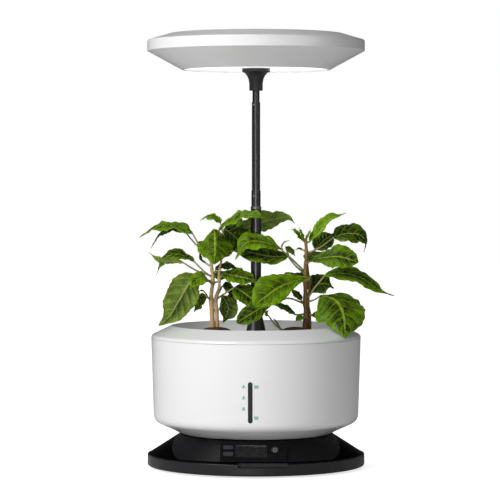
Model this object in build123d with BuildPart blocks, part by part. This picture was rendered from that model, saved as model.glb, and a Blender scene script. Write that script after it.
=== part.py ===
"""Countertop hydroponic garden, one solid per piece, as it comes apart on a bench.

Millimetres, +Z up.  The origin is the centre of the foot ring on the worktop and the display faces
-Y.  From the bottom up: a powered base, a lift-off reservoir whose dry centre column carries the
lamp mast, a lift-off planting deck with two potted plants, the telescopic mast, and the round lamp.
"""

import os
from math import cos, radians, sin, sqrt

from build123d import *

os.makedirs("parts", exist_ok=True)

# ---------------------------------------------------------------- driving dimensions
CLEAR = 0.2  # gap between fixed pieces that slip together

# base
BASE_HALF_WIDTH = 135.8
BASE_HALF_DEPTH = 127.0
SKIRT_HALF_WIDTH, SKIRT_HALF_DEPTH = 134.6, 106.0  # foot of the slope above the rim
BASE_WALL = 2.5
RIM_ROOF = 2.0
FOOT_HEIGHT = 2.5
FOOT_OUTER, FOOT_INNER = 104.0, 92.0
RIM_TOP = 16.8
PLATFORM_TOP = 42.0
PLATFORM_RADIUS = 95.0
POST_CIRCLE = 84.0
BOARD_TOP = 13.6
BOARD_SIZE = (100.0, 56.0, 1.6)
BOARD_CENTRE_Y = 20.0

# front panel, on a plane that follows the steep front of the base
FASCIA_THICKNESS = 1.2
FASCIA_HALF_TOP, FASCIA_HALF_MAX, FASCIA_HALF_BOTTOM = 93.0, 103.4, 94.5
PANEL_CENTRE_X = -3.5
PANEL_SIZE = (81.0, 26.4)
PANEL_PROUD = 1.5
PANEL_SKIN = 2.0
PANEL_DEPTH = 8.0
PANEL_WALL = 1.8
LCD_CENTRE, LCD_SIZE = (-2.5, 0.6), (37.5, 14.5)
KEY_TRAVEL = 0.5
KEY_GAP = 0.25
KEYS = {  # name: (centre on the panel, width, height); the round one has equal sides
    "key_upper": ((-30.2, 5.4), 11.0, 3.8),
    "key_lower": ((-30.2, -3.0), 11.0, 4.6),
    "power_key": ((26.4, 2.2), 8.0, 8.0),
}
NOTCH_LEFT, NOTCH_RIGHT = -22.0, 38.0
NOTCH_BOTTOM, NOTCH_BACK = 12.5, -110.0

# reservoir
TUB_BOTTOM = 43.5
TUB_TOP = 161.5
TUB_WALL = 3.0
TUB_FOOT_RADIUS = 95.0
TUB_KNEE = (128.1, 58.7)
TUB_TOP_RADIUS = 131.0
COLUMN_OUTER, COLUMN_BORE = 17.0, 14.0
COLUMN_TOP = 163.0
GAUGE_X = -6.9
GAUGE_SLOT = (5.7, 50.0)
GAUGE_CENTRE_Z = 91.9
FLOAT_RADIUS, FLOAT_BOTTOM, FLOAT_LENGTH = 4.5, 68.0, 26.0
PUMP_CENTRE_Y = 72.0

# planting deck
DECK_RIM_FOOT = 162.0
DECK_RIM_TOP = 177.0
DECK_OPENING = 104.8
DECK_TOP = 163.0
DECK_THICKNESS = 3.0
POD_X = 50.0
CUP_TOP_RADIUS, CUP_FOOT_RADIUS, CUP_FOOT = 25.0, 19.0, 113.0
CUP_WALL = 1.6
FILL_PORT = (-55.0, 62.0)
FILL_RADIUS = 14.0

# mast: outer radius, bore radius, bottom, top of each stage
STAGES = {
    "mast_tube_1": (6.5, 6.05, 150.0, 322.0),
    "mast_tube_2": (5.8, 5.35, 206.0, 345.5),
    "mast_tube_3": (5.2, 4.7, 321.0, 456.0),
    "mast_rod_4": (4.45, 3.4, 340.0, 487.5),
}
STOP_SCREW_RADIUS = 1.4
STOP_SCREW_ANGLE = -118.0
COLLAR_HEIGHT = 3.5

# lamp
LAMP_RADIUS = 135.6
LAMP_FOOT, LAMP_FOOT_RADIUS = 496.0, 92.6
LAMP_KNEE = 519.5
LAMP_SEAM = 530.8
LAMP_TOP, LAMP_FLAT_RADIUS = 540.8, 108.0
LAMP_WALL = 2.4
LAMP_OPENING, DIFFUSER_RADIUS = 90.0, 92.0
NECK_BOTTOM, NECK_TOP = 470.0, 497.5
SPREADER_BOTTOM, SPREADER_RADIUS = 504.0, 101.4
SPREADER_SCREW_CIRCLE, SCREW_BOSS_RADIUS = 96.8, 3.0
LED_RINGS = {34.0: 12, 50.0: 18, 66.0: 24, 81.0: 30}  # ring radius: chips on it

UP = (Align.CENTER, Align.CENTER, Align.MIN)


# ---------------------------------------------------------------- shared shapes
def turned(*points, rounds=None):
    """Face in the XZ half plane from (radius, height) points; rounds gives a corner's radius by index."""
    with BuildSketch(Plane.XZ) as profile:
        with BuildLine():
            Polyline(*points, close=True)
        make_face()
        for corner, radius in (rounds or {}).items():
            fillet(profile.vertices().sort_by_distance((*points[corner], 0))[0], radius)
    return profile.sketch


def ring(outer, inner):
    """Flat annulus about the origin."""
    with BuildSketch() as annulus:
        Circle(outer)
        Circle(inner, mode=Mode.SUBTRACT)
    return annulus.sketch


def skirt(grow, bottom, top):
    """Solid that slopes from an ellipse on top of the base's rim up to its round platform."""
    with BuildPart() as solid:
        with BuildSketch(Plane.XY.offset(bottom)):
            Ellipse(SKIRT_HALF_WIDTH + grow, SKIRT_HALF_DEPTH + grow)
        with BuildSketch(Plane.XY.offset(top)):
            Circle(PLATFORM_RADIUS + grow)
        loft()
    return solid.part


def key_outline(name, grow):
    """Outline of one key on the panel, grown by the gap around it."""
    centre, width, height = KEYS[name]
    with BuildSketch() as outline:
        with Locations(centre):
            if width == height:
                Circle(width / 2 + grow)
            else:
                RectangleRounded(width + 2 * grow, height + 2 * grow, 1.2)
    return outline.sketch


def tub_radius(height):
    """Outside radius of the reservoir's slightly tapered wall at a height."""
    taper = (TUB_TOP_RADIUS - TUB_KNEE[0]) / (TUB_TOP - TUB_KNEE[1])
    return TUB_KNEE[0] + taper * (height - TUB_KNEE[1])


def wall_band(outer_inset, inner_inset):
    """Solid of revolution inside the reservoir's upright wall, between two depths from its outside."""
    low, high = GAUGE_CENTRE_Z - GAUGE_SLOT[1], GAUGE_CENTRE_Z + GAUGE_SLOT[1]
    with BuildPart() as band:
        revolve(turned(
            (tub_radius(low) - outer_inset, low), (tub_radius(high) - outer_inset, high),
            (tub_radius(high) - inner_inset, high), (tub_radius(low) - inner_inset, low),
        ), axis=Axis.Z)
    return band.part


def gauge_prism(grow):
    """Upright slot-shaped prism through the front wall at the level gauge."""
    with BuildPart() as prism:
        with BuildSketch(Plane.XZ):
            with Locations((GAUGE_X, GAUGE_CENTRE_Z)):
                SlotOverall(GAUGE_SLOT[1] + 2 * grow, GAUGE_SLOT[0] + 2 * grow, rotation=90)
        extrude(amount=TUB_TOP_RADIUS + 10)
    return prism.part


def sitting_at(outline, plane):
    """A flat outline carried from the XY plane onto another plane."""
    return plane.location * outline


panel = Plane(
    origin=(PANEL_CENTRE_X, -(SKIRT_HALF_DEPTH + PLATFORM_RADIUS) / 2, (RIM_TOP + PLATFORM_TOP) / 2),
    x_dir=(1, 0, 0),
    z_dir=(0, -(PLATFORM_TOP - RIM_TOP), SKIRT_HALF_DEPTH - PLATFORM_RADIUS),
)

# ================================================================ base
base_inner = (BASE_HALF_WIDTH - BASE_WALL, BASE_HALF_DEPTH - BASE_WALL)
ceiling = PLATFORM_TOP - BASE_WALL
cover_top = FOOT_HEIGHT + BASE_WALL
rim_skirt = skirt(0, RIM_TOP, PLATFORM_TOP)
cavity_skirt = skirt(-BASE_WALL, RIM_TOP - RIM_ROOF, ceiling)
notch_middle = (NOTCH_LEFT + NOTCH_RIGHT) / 2
notch_depth = BASE_HALF_DEPTH + NOTCH_BACK
JACK_HEIGHT = 10.2
JACK_NOSE_RADIUS = 3.8
CONTACT_RADIUS = 12.0

with BuildPart() as base_housing:
    with BuildSketch(Plane.XY.offset(FOOT_HEIGHT)):
        Ellipse(BASE_HALF_WIDTH, BASE_HALF_DEPTH)
    extrude(amount=RIM_TOP - FOOT_HEIGHT)
    fillet(base_housing.edges().group_by(Axis.Z)[0], 2.2)
    fillet(base_housing.edges().group_by(Axis.Z)[-1], 0.8)
    add(rim_skirt)
    fillet(base_housing.edges().group_by(Axis.Z)[-1], 1.5)
    # hollow underside
    with BuildSketch(Plane.XY.offset(FOOT_HEIGHT)):
        Ellipse(*base_inner)
    extrude(amount=RIM_TOP - RIM_ROOF - FOOT_HEIGHT, mode=Mode.SUBTRACT)
    add(cavity_skirt, mode=Mode.SUBTRACT)
    # screw posts, and a floor under the notch in the front rim
    with BuildSketch(Plane.XY.offset(cover_top)):
        with PolarLocations(POST_CIRCLE, 4, start_angle=45):
            Circle(4)
    extrude(amount=ceiling - cover_top)
    with BuildSketch(Plane.XY.offset(NOTCH_BOTTOM - BASE_WALL)):
        Ellipse(BASE_HALF_WIDTH - 1, BASE_HALF_DEPTH - 1)
        with Locations((notch_middle, NOTCH_BACK + BASE_WALL)):
            Rectangle(NOTCH_RIGHT - NOTCH_LEFT + 2 * BASE_WALL, notch_depth + BASE_WALL,
                      align=(Align.CENTER, Align.MAX), mode=Mode.INTERSECT)
    extrude(amount=RIM_TOP - 1 - NOTCH_BOTTOM + BASE_WALL)
    with Locations(Plane.XY.offset(cover_top).location):
        with PolarLocations(POST_CIRCLE, 4, start_angle=45):
            Cylinder(1.5, 12, align=UP, mode=Mode.SUBTRACT)
    # openings for the display block, the notch, the power inlet and the contacts
    with BuildSketch(panel.offset(PANEL_PROUD + 4)):
        RectangleRounded(PANEL_SIZE[0] + CLEAR, PANEL_SIZE[1] + CLEAR, 1.6)
    extrude(amount=-(PANEL_PROUD + PANEL_DEPTH + 8), mode=Mode.SUBTRACT)
    with BuildSketch(Plane.XY.offset(NOTCH_BOTTOM)):
        with Locations((notch_middle, NOTCH_BACK)):
            Rectangle(NOTCH_RIGHT - NOTCH_LEFT, notch_depth + 2, align=(Align.CENTER, Align.MAX))
    extrude(amount=RIM_TOP - NOTCH_BOTTOM + 1, mode=Mode.SUBTRACT)
    with BuildSketch(Plane.XZ.offset(-BASE_HALF_DEPTH - 2)):
        with Locations((0, JACK_HEIGHT)):
            Circle(JACK_NOSE_RADIUS + CLEAR)
    extrude(amount=BASE_WALL + 4, mode=Mode.SUBTRACT)
    with BuildSketch(Plane.XY.offset(ceiling)):
        Circle(CONTACT_RADIUS + CLEAR)
    extrude(amount=BASE_WALL, mode=Mode.SUBTRACT)
base_housing.part.label = "base_housing"
export_step(base_housing.part, "parts/base_housing.step")

BOARD_HOLES = (BOARD_SIZE[0] - 10, BOARD_SIZE[1] - 10)
board_bottom = BOARD_TOP - BOARD_SIZE[2]

with BuildPart() as base_bottom_cover:
    with BuildSketch(Plane.XY.offset(FOOT_HEIGHT)):
        Ellipse(base_inner[0] - CLEAR, base_inner[1] - CLEAR)
    extrude(amount=BASE_WALL)
    with BuildSketch(Plane.XY.offset(cover_top)):
        with Locations((0, BOARD_CENTRE_Y)):
            with GridLocations(*BOARD_HOLES, 2, 2):
                Circle(3.5)
    extrude(amount=board_bottom - cover_top)
    with Locations(Plane.XY.offset(board_bottom - 6).location):
        with Locations((0, BOARD_CENTRE_Y)):
            with GridLocations(*BOARD_HOLES, 2, 2):
                Cylinder(1.1, 6, align=UP, mode=Mode.SUBTRACT)
    with Locations(Plane.XY.offset(FOOT_HEIGHT).location):
        with PolarLocations(POST_CIRCLE, 4, start_angle=45):
            Cylinder(1.7, BASE_WALL, align=UP, mode=Mode.SUBTRACT)
            Cylinder(3.3, 1.5, align=UP, mode=Mode.SUBTRACT)
base_bottom_cover.part.label = "base_bottom_cover"
export_step(base_bottom_cover.part, "parts/base_bottom_cover.step")

with BuildPart() as base_screws:
    with Locations(Plane.XY.offset(FOOT_HEIGHT + 0.1).location):
        with PolarLocations(POST_CIRCLE, 4, start_angle=45):
            Cylinder(2.8, 1.4, align=UP)
            Cylinder(1.45, 12, align=UP)
            Cylinder(1.0, 0.7, align=UP, mode=Mode.SUBTRACT)
base_screws.part.label = "base_screws"
export_step(base_screws.part, "parts/base_screws.step")

with BuildPart() as foot_ring:
    extrude(ring(FOOT_OUTER, FOOT_INNER), amount=FOOT_HEIGHT)
    chamfer(foot_ring.faces().sort_by(Axis.Z)[0].edges(), 0.5)
foot_ring.part.label = "foot_ring"
export_step(foot_ring.part, "parts/foot_ring.step")

with BuildPart() as front_fascia:
    add(skirt(FASCIA_THICKNESS, RIM_TOP, PLATFORM_TOP))
    add(rim_skirt, mode=Mode.SUBTRACT)
    with BuildSketch(Plane.XZ):
        with BuildLine():
            bottom, middle, top = RIM_TOP + 1.0, (RIM_TOP + PLATFORM_TOP) / 2 - 0.6, PLATFORM_TOP - 0.3
            ThreePointArc((-FASCIA_HALF_TOP, top), (-FASCIA_HALF_MAX, middle), (-FASCIA_HALF_BOTTOM, bottom))
            Line((-FASCIA_HALF_BOTTOM, bottom), (FASCIA_HALF_BOTTOM, bottom))
            ThreePointArc((FASCIA_HALF_BOTTOM, bottom), (FASCIA_HALF_MAX, middle), (FASCIA_HALF_TOP, top))
            Line((FASCIA_HALF_TOP, top), (-FASCIA_HALF_TOP, top))
        make_face()
    extrude(amount=BASE_HALF_DEPTH + 20, mode=Mode.INTERSECT)
    with BuildSketch(panel.offset(PANEL_PROUD + 4)):
        RectangleRounded(PANEL_SIZE[0] + CLEAR, PANEL_SIZE[1] + CLEAR, 1.6)
    extrude(amount=-(PANEL_PROUD + PANEL_DEPTH + 8), mode=Mode.SUBTRACT)
front_fascia.part.label = "front_fascia"
export_step(front_fascia.part, "parts/front_fascia.step")

with BuildPart() as display_bezel:
    with BuildSketch(panel.offset(PANEL_PROUD)):
        RectangleRounded(*PANEL_SIZE, 1.5)
    extrude(amount=-(PANEL_PROUD + PANEL_DEPTH))
    fillet(display_bezel.faces().sort_by_distance(panel.offset(PANEL_PROUD + 5).origin)[0].edges(), 0.5)
    with BuildSketch(panel.offset(PANEL_PROUD - PANEL_SKIN)):
        Rectangle(PANEL_SIZE[0] - 2 * PANEL_WALL, PANEL_SIZE[1] - 2 * PANEL_WALL)
    extrude(amount=-PANEL_DEPTH, mode=Mode.SUBTRACT)
    with BuildSketch(panel.offset(PANEL_PROUD + 1)):
        with Locations(LCD_CENTRE):
            Rectangle(*LCD_SIZE)
        for name in KEYS:
            add(key_outline(name, KEY_GAP))
    extrude(amount=-(PANEL_SKIN + 1.5), mode=Mode.SUBTRACT)
display_bezel.part.label = "display_bezel"
export_step(display_bezel.part, "parts/display_bezel.step")

panel_back = PANEL_PROUD - PANEL_SKIN  # rear face of the display block's front skin
panel_board_front = panel_back - 5.5

with BuildPart() as display_lens:
    with BuildSketch(panel.offset(panel_back)):
        with Locations(LCD_CENTRE):
            Rectangle(LCD_SIZE[0] - CLEAR, LCD_SIZE[1] - CLEAR)
    extrude(amount=PANEL_SKIN - 0.3)
    with BuildSketch(panel.offset(panel_back)):
        with Locations(LCD_CENTRE):
            Rectangle(LCD_SIZE[0] + 3, LCD_SIZE[1] + 3)
    extrude(amount=-1)
display_lens.part.label = "display_lens"
export_step(display_lens.part, "parts/display_lens.step")

with BuildPart() as lcd_module:
    with BuildSketch(panel.offset(panel_board_front)):
        with Locations(LCD_CENTRE):
            Rectangle(LCD_SIZE[0] + 4, LCD_SIZE[1] + 4)
    extrude(amount=panel_back - 1.2 - panel_board_front)
lcd_module.part.label = "lcd_module"
export_step(lcd_module.part, "parts/lcd_module.step")

key_flange_back = panel_back - 1.5

with BuildPart() as panel_board:  # the board with its three push switches, one behind each key
    with BuildSketch(panel.offset(panel_board_front)):
        Rectangle(PANEL_SIZE[0] - 2 * PANEL_WALL - 1, PANEL_SIZE[1] - 2 * PANEL_WALL - 1)
    extrude(amount=-1.2)
    with BuildSketch(panel.offset(panel_board_front)):
        with Locations(*[KEYS[name][0] for name in KEYS]):
            Rectangle(6, 6)
    extrude(amount=2.4)
    with BuildSketch(panel.offset(panel_board_front)):
        with Locations(*[KEYS[name][0] for name in KEYS]):
            Circle(1.6)
    extrude(amount=key_flange_back - KEY_TRAVEL - 0.1 - panel_board_front)
panel_board.part.label = "panel_board"
export_step(panel_board.part, "parts/panel_board.step")

for name in KEYS:
    with BuildPart() as key_cap:
        extrude(sitting_at(key_outline(name, 0), panel.offset(key_flange_back)), amount=PANEL_SKIN + 2.1,
                dir=panel.z_dir)
        extrude(sitting_at(key_outline(name, 0.8), panel.offset(key_flange_back)), amount=1.0,
                dir=panel.z_dir)
    key_cap.part.label = name
    export_step(key_cap.part, f"parts/{name}.step")

BOARD_PARTS = [  # centre x, centre y, width, depth, height of each block soldered on the board
    (-30, 12, 12, 12, 3), (-8, 24, 18, 10, 8), (16, 10, 8, 6, 6), (30, 30, 14, 9, 10), (0, 40, 22, 6, 5),
]

with BuildPart() as control_board:
    with BuildSketch(Plane.XY.offset(board_bottom)):
        with Locations((0, BOARD_CENTRE_Y)):
            Rectangle(BOARD_SIZE[0], BOARD_SIZE[1])
            with GridLocations(*BOARD_HOLES, 2, 2):
                Circle(1.3, mode=Mode.SUBTRACT)
    extrude(amount=BOARD_SIZE[2])
    for x, y, width, depth, height in BOARD_PARTS:
        with BuildSketch(Plane.XY.offset(BOARD_TOP)):
            with Locations((x, y)):
                Rectangle(width, depth)
        extrude(amount=height)
control_board.part.label = "control_board"
export_step(control_board.part, "parts/control_board.step")

with BuildPart() as board_screws:
    with Locations(Plane.XY.offset(BOARD_TOP).location):
        with Locations((0, BOARD_CENTRE_Y)):
            with GridLocations(*BOARD_HOLES, 2, 2):
                Cylinder(2.2, 1.6, align=UP)
    with Locations(Plane.XY.offset(BOARD_TOP - 6).location):
        with Locations((0, BOARD_CENTRE_Y)):
            with GridLocations(*BOARD_HOLES, 2, 2):
                Cylinder(1.05, 6, align=UP)
board_screws.part.label = "board_screws"
export_step(board_screws.part, "parts/board_screws.step")

jack_face = BASE_HALF_DEPTH - BASE_WALL - 1.0

with BuildPart() as dc_jack:
    with BuildSketch(Plane.XZ.offset(-jack_face)):
        with Locations((0, JACK_HEIGHT)):
            Rectangle(10, 9)
    extrude(amount=13)
    with BuildSketch(Plane.XZ.offset(-jack_face)):
        with Locations((0, JACK_HEIGHT)):
            Circle(JACK_NOSE_RADIUS)
    extrude(amount=-(BASE_HALF_DEPTH - jack_face))
    with BuildSketch(Plane.XZ.offset(-BASE_HALF_DEPTH)):
        with Locations((0, JACK_HEIGHT)):
            Circle(2.85)
            Circle(1.0, mode=Mode.SUBTRACT)
    extrude(amount=9, mode=Mode.SUBTRACT)
dc_jack.part.label = "dc_jack"
export_step(dc_jack.part, "parts/dc_jack.step")

with BuildPart() as base_contacts:
    with BuildSketch(Plane.XY.offset(ceiling)):
        Circle(CONTACT_RADIUS)
    extrude(amount=BASE_WALL + 0.6)
    with BuildSketch(Plane.XY.offset(ceiling)):
        Circle(CONTACT_RADIUS + 2)
    extrude(amount=-2)
    with BuildSketch(Plane.XY.offset(PLATFORM_TOP)):
        with PolarLocations(6, 4):
            Circle(0.8)
    extrude(amount=1.3)
base_contacts.part.label = "base_contacts"
export_step(base_contacts.part, "parts/base_contacts.step")

with BuildPart() as reservoir_seat:
    extrude(Plane.XY.offset(PLATFORM_TOP).location * ring(84, 72), amount=TUB_BOTTOM - PLATFORM_TOP)
reservoir_seat.part.label = "reservoir_seat"
export_step(reservoir_seat.part, "parts/reservoir_seat.step")

# ================================================================ reservoir
tub_floor = TUB_BOTTOM + TUB_WALL
inner_knee = TUB_KNEE[1] + 1.8
slot_prism = gauge_prism(0)
flange_prism = gauge_prism(3)
GASKET_BACK, FLANGE_BACK = TUB_WALL + 0.8, TUB_WALL + 2.3  # depths from the tub's outside

with BuildPart() as reservoir_tub:
    revolve(turned(
        (COLUMN_BORE, TUB_BOTTOM), (TUB_FOOT_RADIUS, TUB_BOTTOM), TUB_KNEE, (TUB_TOP_RADIUS, TUB_TOP),
        (tub_radius(TUB_TOP) - TUB_WALL, TUB_TOP), (tub_radius(inner_knee) - TUB_WALL, inner_knee),
        (TUB_FOOT_RADIUS - 0.8, tub_floor), (COLUMN_OUTER, tub_floor), (COLUMN_OUTER, COLUMN_TOP),
        (STAGES["mast_tube_1"][0] + 0.05, COLUMN_TOP), (STAGES["mast_tube_1"][0] + 0.05, COLUMN_TOP - 3),
        (COLUMN_BORE, COLUMN_TOP - 3),
        rounds={2: 12.0, 5: 5.0, 6: 3.0, 1: 1.5},
    ), axis=Axis.Z)
    add(slot_prism, mode=Mode.SUBTRACT)
    with BuildSketch(Plane.XZ.offset(-COLUMN_OUTER - 1)):
        with Locations((0, tub_floor + 6)):
            Circle(2.0)
    extrude(amount=COLUMN_OUTER - COLUMN_BORE + 2, mode=Mode.SUBTRACT)
reservoir_tub.part.label = "reservoir_tub"
export_step(reservoir_tub.part, "parts/reservoir_tub.step")

with BuildPart() as gauge_window:
    add(gauge_prism(-0.1) & wall_band(0.15, GASKET_BACK))
    add(flange_prism & wall_band(GASKET_BACK, FLANGE_BACK))
gauge_window.part.label = "gauge_window"
export_step(gauge_window.part, "parts/gauge_window.step")

with BuildPart() as gauge_gasket:
    add(flange_prism & wall_band(TUB_WALL, GASKET_BACK))
    add(slot_prism, mode=Mode.SUBTRACT)
gauge_gasket.part.label = "gauge_gasket"
export_step(gauge_gasket.part, "parts/gauge_gasket.step")

GUIDE_SIZE = (13.0, 58.0)
GUIDE_CENTRE_Y = -117.6
float_centre = (GAUGE_X, GUIDE_CENTRE_Y)

with BuildPart() as float_guide:
    with BuildSketch(Plane.XY.offset(GAUGE_CENTRE_Z - GUIDE_SIZE[1] / 2)):
        with Locations((GAUGE_X, -TUB_TOP_RADIUS + 12)):
            Rectangle(GUIDE_SIZE[0], 16)
    extrude(amount=GUIDE_SIZE[1])
    with BuildSketch(Plane.XY.offset(GAUGE_CENTRE_Z - GUIDE_SIZE[1] / 2 + 2)):
        with Locations(float_centre):
            Circle(FLOAT_RADIUS + 0.6)
        with Locations((GAUGE_X, -TUB_TOP_RADIUS + 6)):
            Rectangle(2 * FLOAT_RADIUS + 1.2, 15)
    extrude(amount=GUIDE_SIZE[1] - 4, mode=Mode.SUBTRACT)
    add(wall_band(FLANGE_BACK, 22), mode=Mode.INTERSECT)
float_guide.part.label = "float_guide"
export_step(float_guide.part, "parts/float_guide.step")

with BuildPart() as level_float:
    with Locations((*float_centre, FLOAT_BOTTOM)):
        Cylinder(FLOAT_RADIUS, FLOAT_LENGTH, align=UP)
    fillet(level_float.edges().filter_by(GeomType.CIRCLE), 1.2)
level_float.part.label = "level_float"
export_step(level_float.part, "parts/level_float.step")

with BuildPart() as reservoir_contact:
    with BuildSketch(Plane.XY.offset(TUB_BOTTOM + 0.1)):
        Circle(COLUMN_BORE - CLEAR)
    extrude(amount=4)
reservoir_contact.part.label = "reservoir_contact"
export_step(reservoir_contact.part, "parts/reservoir_contact.step")

with BuildPart() as column_lead:
    with BuildSketch(Plane.XY.offset(TUB_BOTTOM + 4.1)):
        Circle(2.4)
    extrude(amount=STAGES["mast_tube_1"][2] + 6 - TUB_BOTTOM - 4.1)
column_lead.part.label = "column_lead"
export_step(column_lead.part, "parts/column_lead.step")

pump_floor = tub_floor + 4

with BuildPart() as pump_body:
    with BuildSketch(Plane.XY.offset(pump_floor)):
        with Locations((0, PUMP_CENTRE_Y)):
            RectangleRounded(38, 30, 6)
    extrude(amount=30)
    fillet(pump_body.faces().sort_by(Axis.Z)[-1].edges(), 2)
    with BuildSketch(Plane.XY.offset(pump_floor + 30)):
        with Locations((8, PUMP_CENTRE_Y)):
            Circle(4.5)
    extrude(amount=9)
    with Locations((8, PUMP_CENTRE_Y, pump_floor + 21)):
        Cylinder(3, 18, align=UP, mode=Mode.SUBTRACT)
pump_body.part.label = "pump_body"
export_step(pump_body.part, "parts/pump_body.step")

with BuildPart() as pump_strainer:
    with BuildSketch(Plane.YZ.offset(19)):
        with Locations((PUMP_CENTRE_Y, pump_floor + 14)):
            RectangleRounded(22, 20, 3)
            with GridLocations(0, 3.6, 1, 5):
                SlotOverall(16, 1.6, mode=Mode.SUBTRACT)
    extrude(amount=2.4)
pump_strainer.part.label = "pump_strainer"
export_step(pump_strainer.part, "parts/pump_strainer.step")

with BuildPart() as pump_feet:
    with Locations((0, PUMP_CENTRE_Y, tub_floor)):
        with GridLocations(26, 18, 2, 2):
            Cone(4.5, 2.5, 4, align=UP)
pump_feet.part.label = "pump_feet"
export_step(pump_feet.part, "parts/pump_feet.step")

with BuildPart() as pump_riser:
    with Locations((8, PUMP_CENTRE_Y, pump_floor + 30.2)):
        Cylinder(6.2, 62, align=UP)
        Cylinder(4.6, 62, align=UP, mode=Mode.SUBTRACT)
pump_riser.part.label = "pump_riser"
export_step(pump_riser.part, "parts/pump_riser.step")

with BuildPart() as pump_lead:
    with BuildLine():
        lead_path = FilletPolyline(
            (0, COLUMN_BORE + 0.5, tub_floor + 6), (0, 32, tub_floor + 6), (0, 46, tub_floor + 14),
            (0, PUMP_CENTRE_Y - 15, tub_floor + 14), radius=9,
        )
    with BuildSketch(Plane(origin=lead_path @ 0, z_dir=lead_path % 0)):
        Circle(1.9)
    sweep()
pump_lead.part.label = "pump_lead"
export_step(pump_lead.part, "parts/pump_lead.step")

# ================================================================ planting deck
with BuildPart() as deck_rim:
    slope = (DECK_RIM_TOP - 165.2) / (TUB_TOP_RADIUS - 106)
    revolve(turned(
        (TUB_TOP_RADIUS, DECK_RIM_FOOT), (TUB_TOP_RADIUS, 165.2), (106, DECK_RIM_TOP),
        (DECK_OPENING, DECK_RIM_TOP), (DECK_OPENING, DECK_TOP - DECK_THICKNESS),
        (99, DECK_TOP - DECK_THICKNESS), (99, 157), (107.4, 157), (107.4, 173.2),
        (125.2, 173.2 - 17.8 * slope), (125.2, 156), (127.6, 156), (127.6, DECK_RIM_FOOT),
        rounds={1: 4.6, 2: 1.6, 7: 1.0},
    ), axis=Axis.Z)
deck_rim.part.label = "deck_rim"
export_step(deck_rim.part, "parts/deck_rim.step")

with BuildPart() as deck_seal:
    extrude(Plane.XY.offset(TUB_TOP).location * ring(130.2, 128.4), amount=DECK_RIM_FOOT - TUB_TOP)
deck_seal.part.label = "deck_seal"
export_step(deck_seal.part, "parts/deck_seal.step")

pods = {"left": -POD_X, "right": POD_X}

with BuildPart() as planting_deck:
    with BuildSketch(Plane.XY.offset(DECK_TOP - DECK_THICKNESS)):
        Circle(DECK_OPENING - CLEAR)
        Circle(COLUMN_OUTER + 2, mode=Mode.SUBTRACT)
        with Locations(*[(x, 0) for x in pods.values()]):
            Circle(CUP_TOP_RADIUS + 0.4, mode=Mode.SUBTRACT)
        with Locations(FILL_PORT):
            Circle(FILL_RADIUS, mode=Mode.SUBTRACT)
    extrude(amount=DECK_THICKNESS)
    with BuildSketch(Plane.XY.offset(DECK_TOP)):
        with Locations(FILL_PORT):
            Circle(FILL_RADIUS + 2)
            Circle(FILL_RADIUS, mode=Mode.SUBTRACT)
    extrude(amount=3)
planting_deck.part.label = "planting_deck"
export_step(planting_deck.part, "parts/planting_deck.step")

cup_profile = [
    (0, CUP_FOOT), (CUP_FOOT_RADIUS, CUP_FOOT), (CUP_TOP_RADIUS, DECK_TOP), (29, DECK_TOP),
    (29, DECK_TOP + 2), (CUP_TOP_RADIUS - CUP_WALL, DECK_TOP + 2),
    (CUP_FOOT_RADIUS - CUP_WALL, CUP_FOOT + 2), (0, CUP_FOOT + 2),
]
plug_profile = [
    (0, CUP_FOOT + 2), (CUP_FOOT_RADIUS - CUP_WALL - 0.2, CUP_FOOT + 2),
    (CUP_TOP_RADIUS - CUP_WALL - 0.2, DECK_TOP + 2), (20.5, 170.5), (12.5, 174), (0, 175.2),
]
with BuildPart() as cup_shape:
    revolve(turned(*cup_profile), axis=Axis.Z)
    with Locations(Plane.XY.offset(CUP_FOOT + 7).location):
        with PolarLocations(CUP_TOP_RADIUS - 3, 12):
            Box(10, 3.2, 36, align=UP, mode=Mode.SUBTRACT)
with BuildPart() as plug_shape:
    revolve(turned(*plug_profile), axis=Axis.Z)

for side, x in pods.items():
    with BuildPart() as net_cup:
        add(Pos(x, 0, 0) * cup_shape.part)
    net_cup.part.label = f"net_cup_{side}"
    export_step(net_cup.part, f"parts/net_cup_{side}.step")
    with BuildPart() as grow_plug:
        add(Pos(x, 0, 0) * plug_shape.part)
    grow_plug.part.label = f"grow_plug_{side}"
    export_step(grow_plug.part, f"parts/grow_plug_{side}.step")

# ================================================================ mast
with BuildPart() as mast_foot:
    revolve(turned(
        (6.6, COLUMN_TOP), (17, COLUMN_TOP), (17, 165.5), (14.0, 165.5), (11.6, 172.5), (9.9, 180.6),
        (8.4, 187), (7.1, 193.5), (6.6, 193.5),
        rounds={2: 0.8, 4: 6.0, 5: 6.0, 6: 6.0},
    ), axis=Axis.Z)
mast_foot.part.label = "mast_foot"
export_step(mast_foot.part, "parts/mast_foot.step")

with BuildPart() as mast_nut:
    with BuildSketch(Plane.XY.offset(COLUMN_TOP - 8)):
        RegularPolygon(11, 6)
        Circle(6.55, mode=Mode.SUBTRACT)
    extrude(amount=5)
mast_nut.part.label = "mast_nut"
export_step(mast_nut.part, "parts/mast_nut.step")


def screw_plane(stage):
    """Plane of a stage's stop screw: on the mast's axis near the stage's top, facing the screw's side."""
    height = STAGES[stage][3] - (6.9 if stage == "mast_tube_2" else 3.6)
    turn = radians(STOP_SCREW_ANGLE)
    return Plane(origin=(0, 0, height), x_dir=(0, 0, 1), z_dir=(cos(turn), sin(turn), 0))


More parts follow.
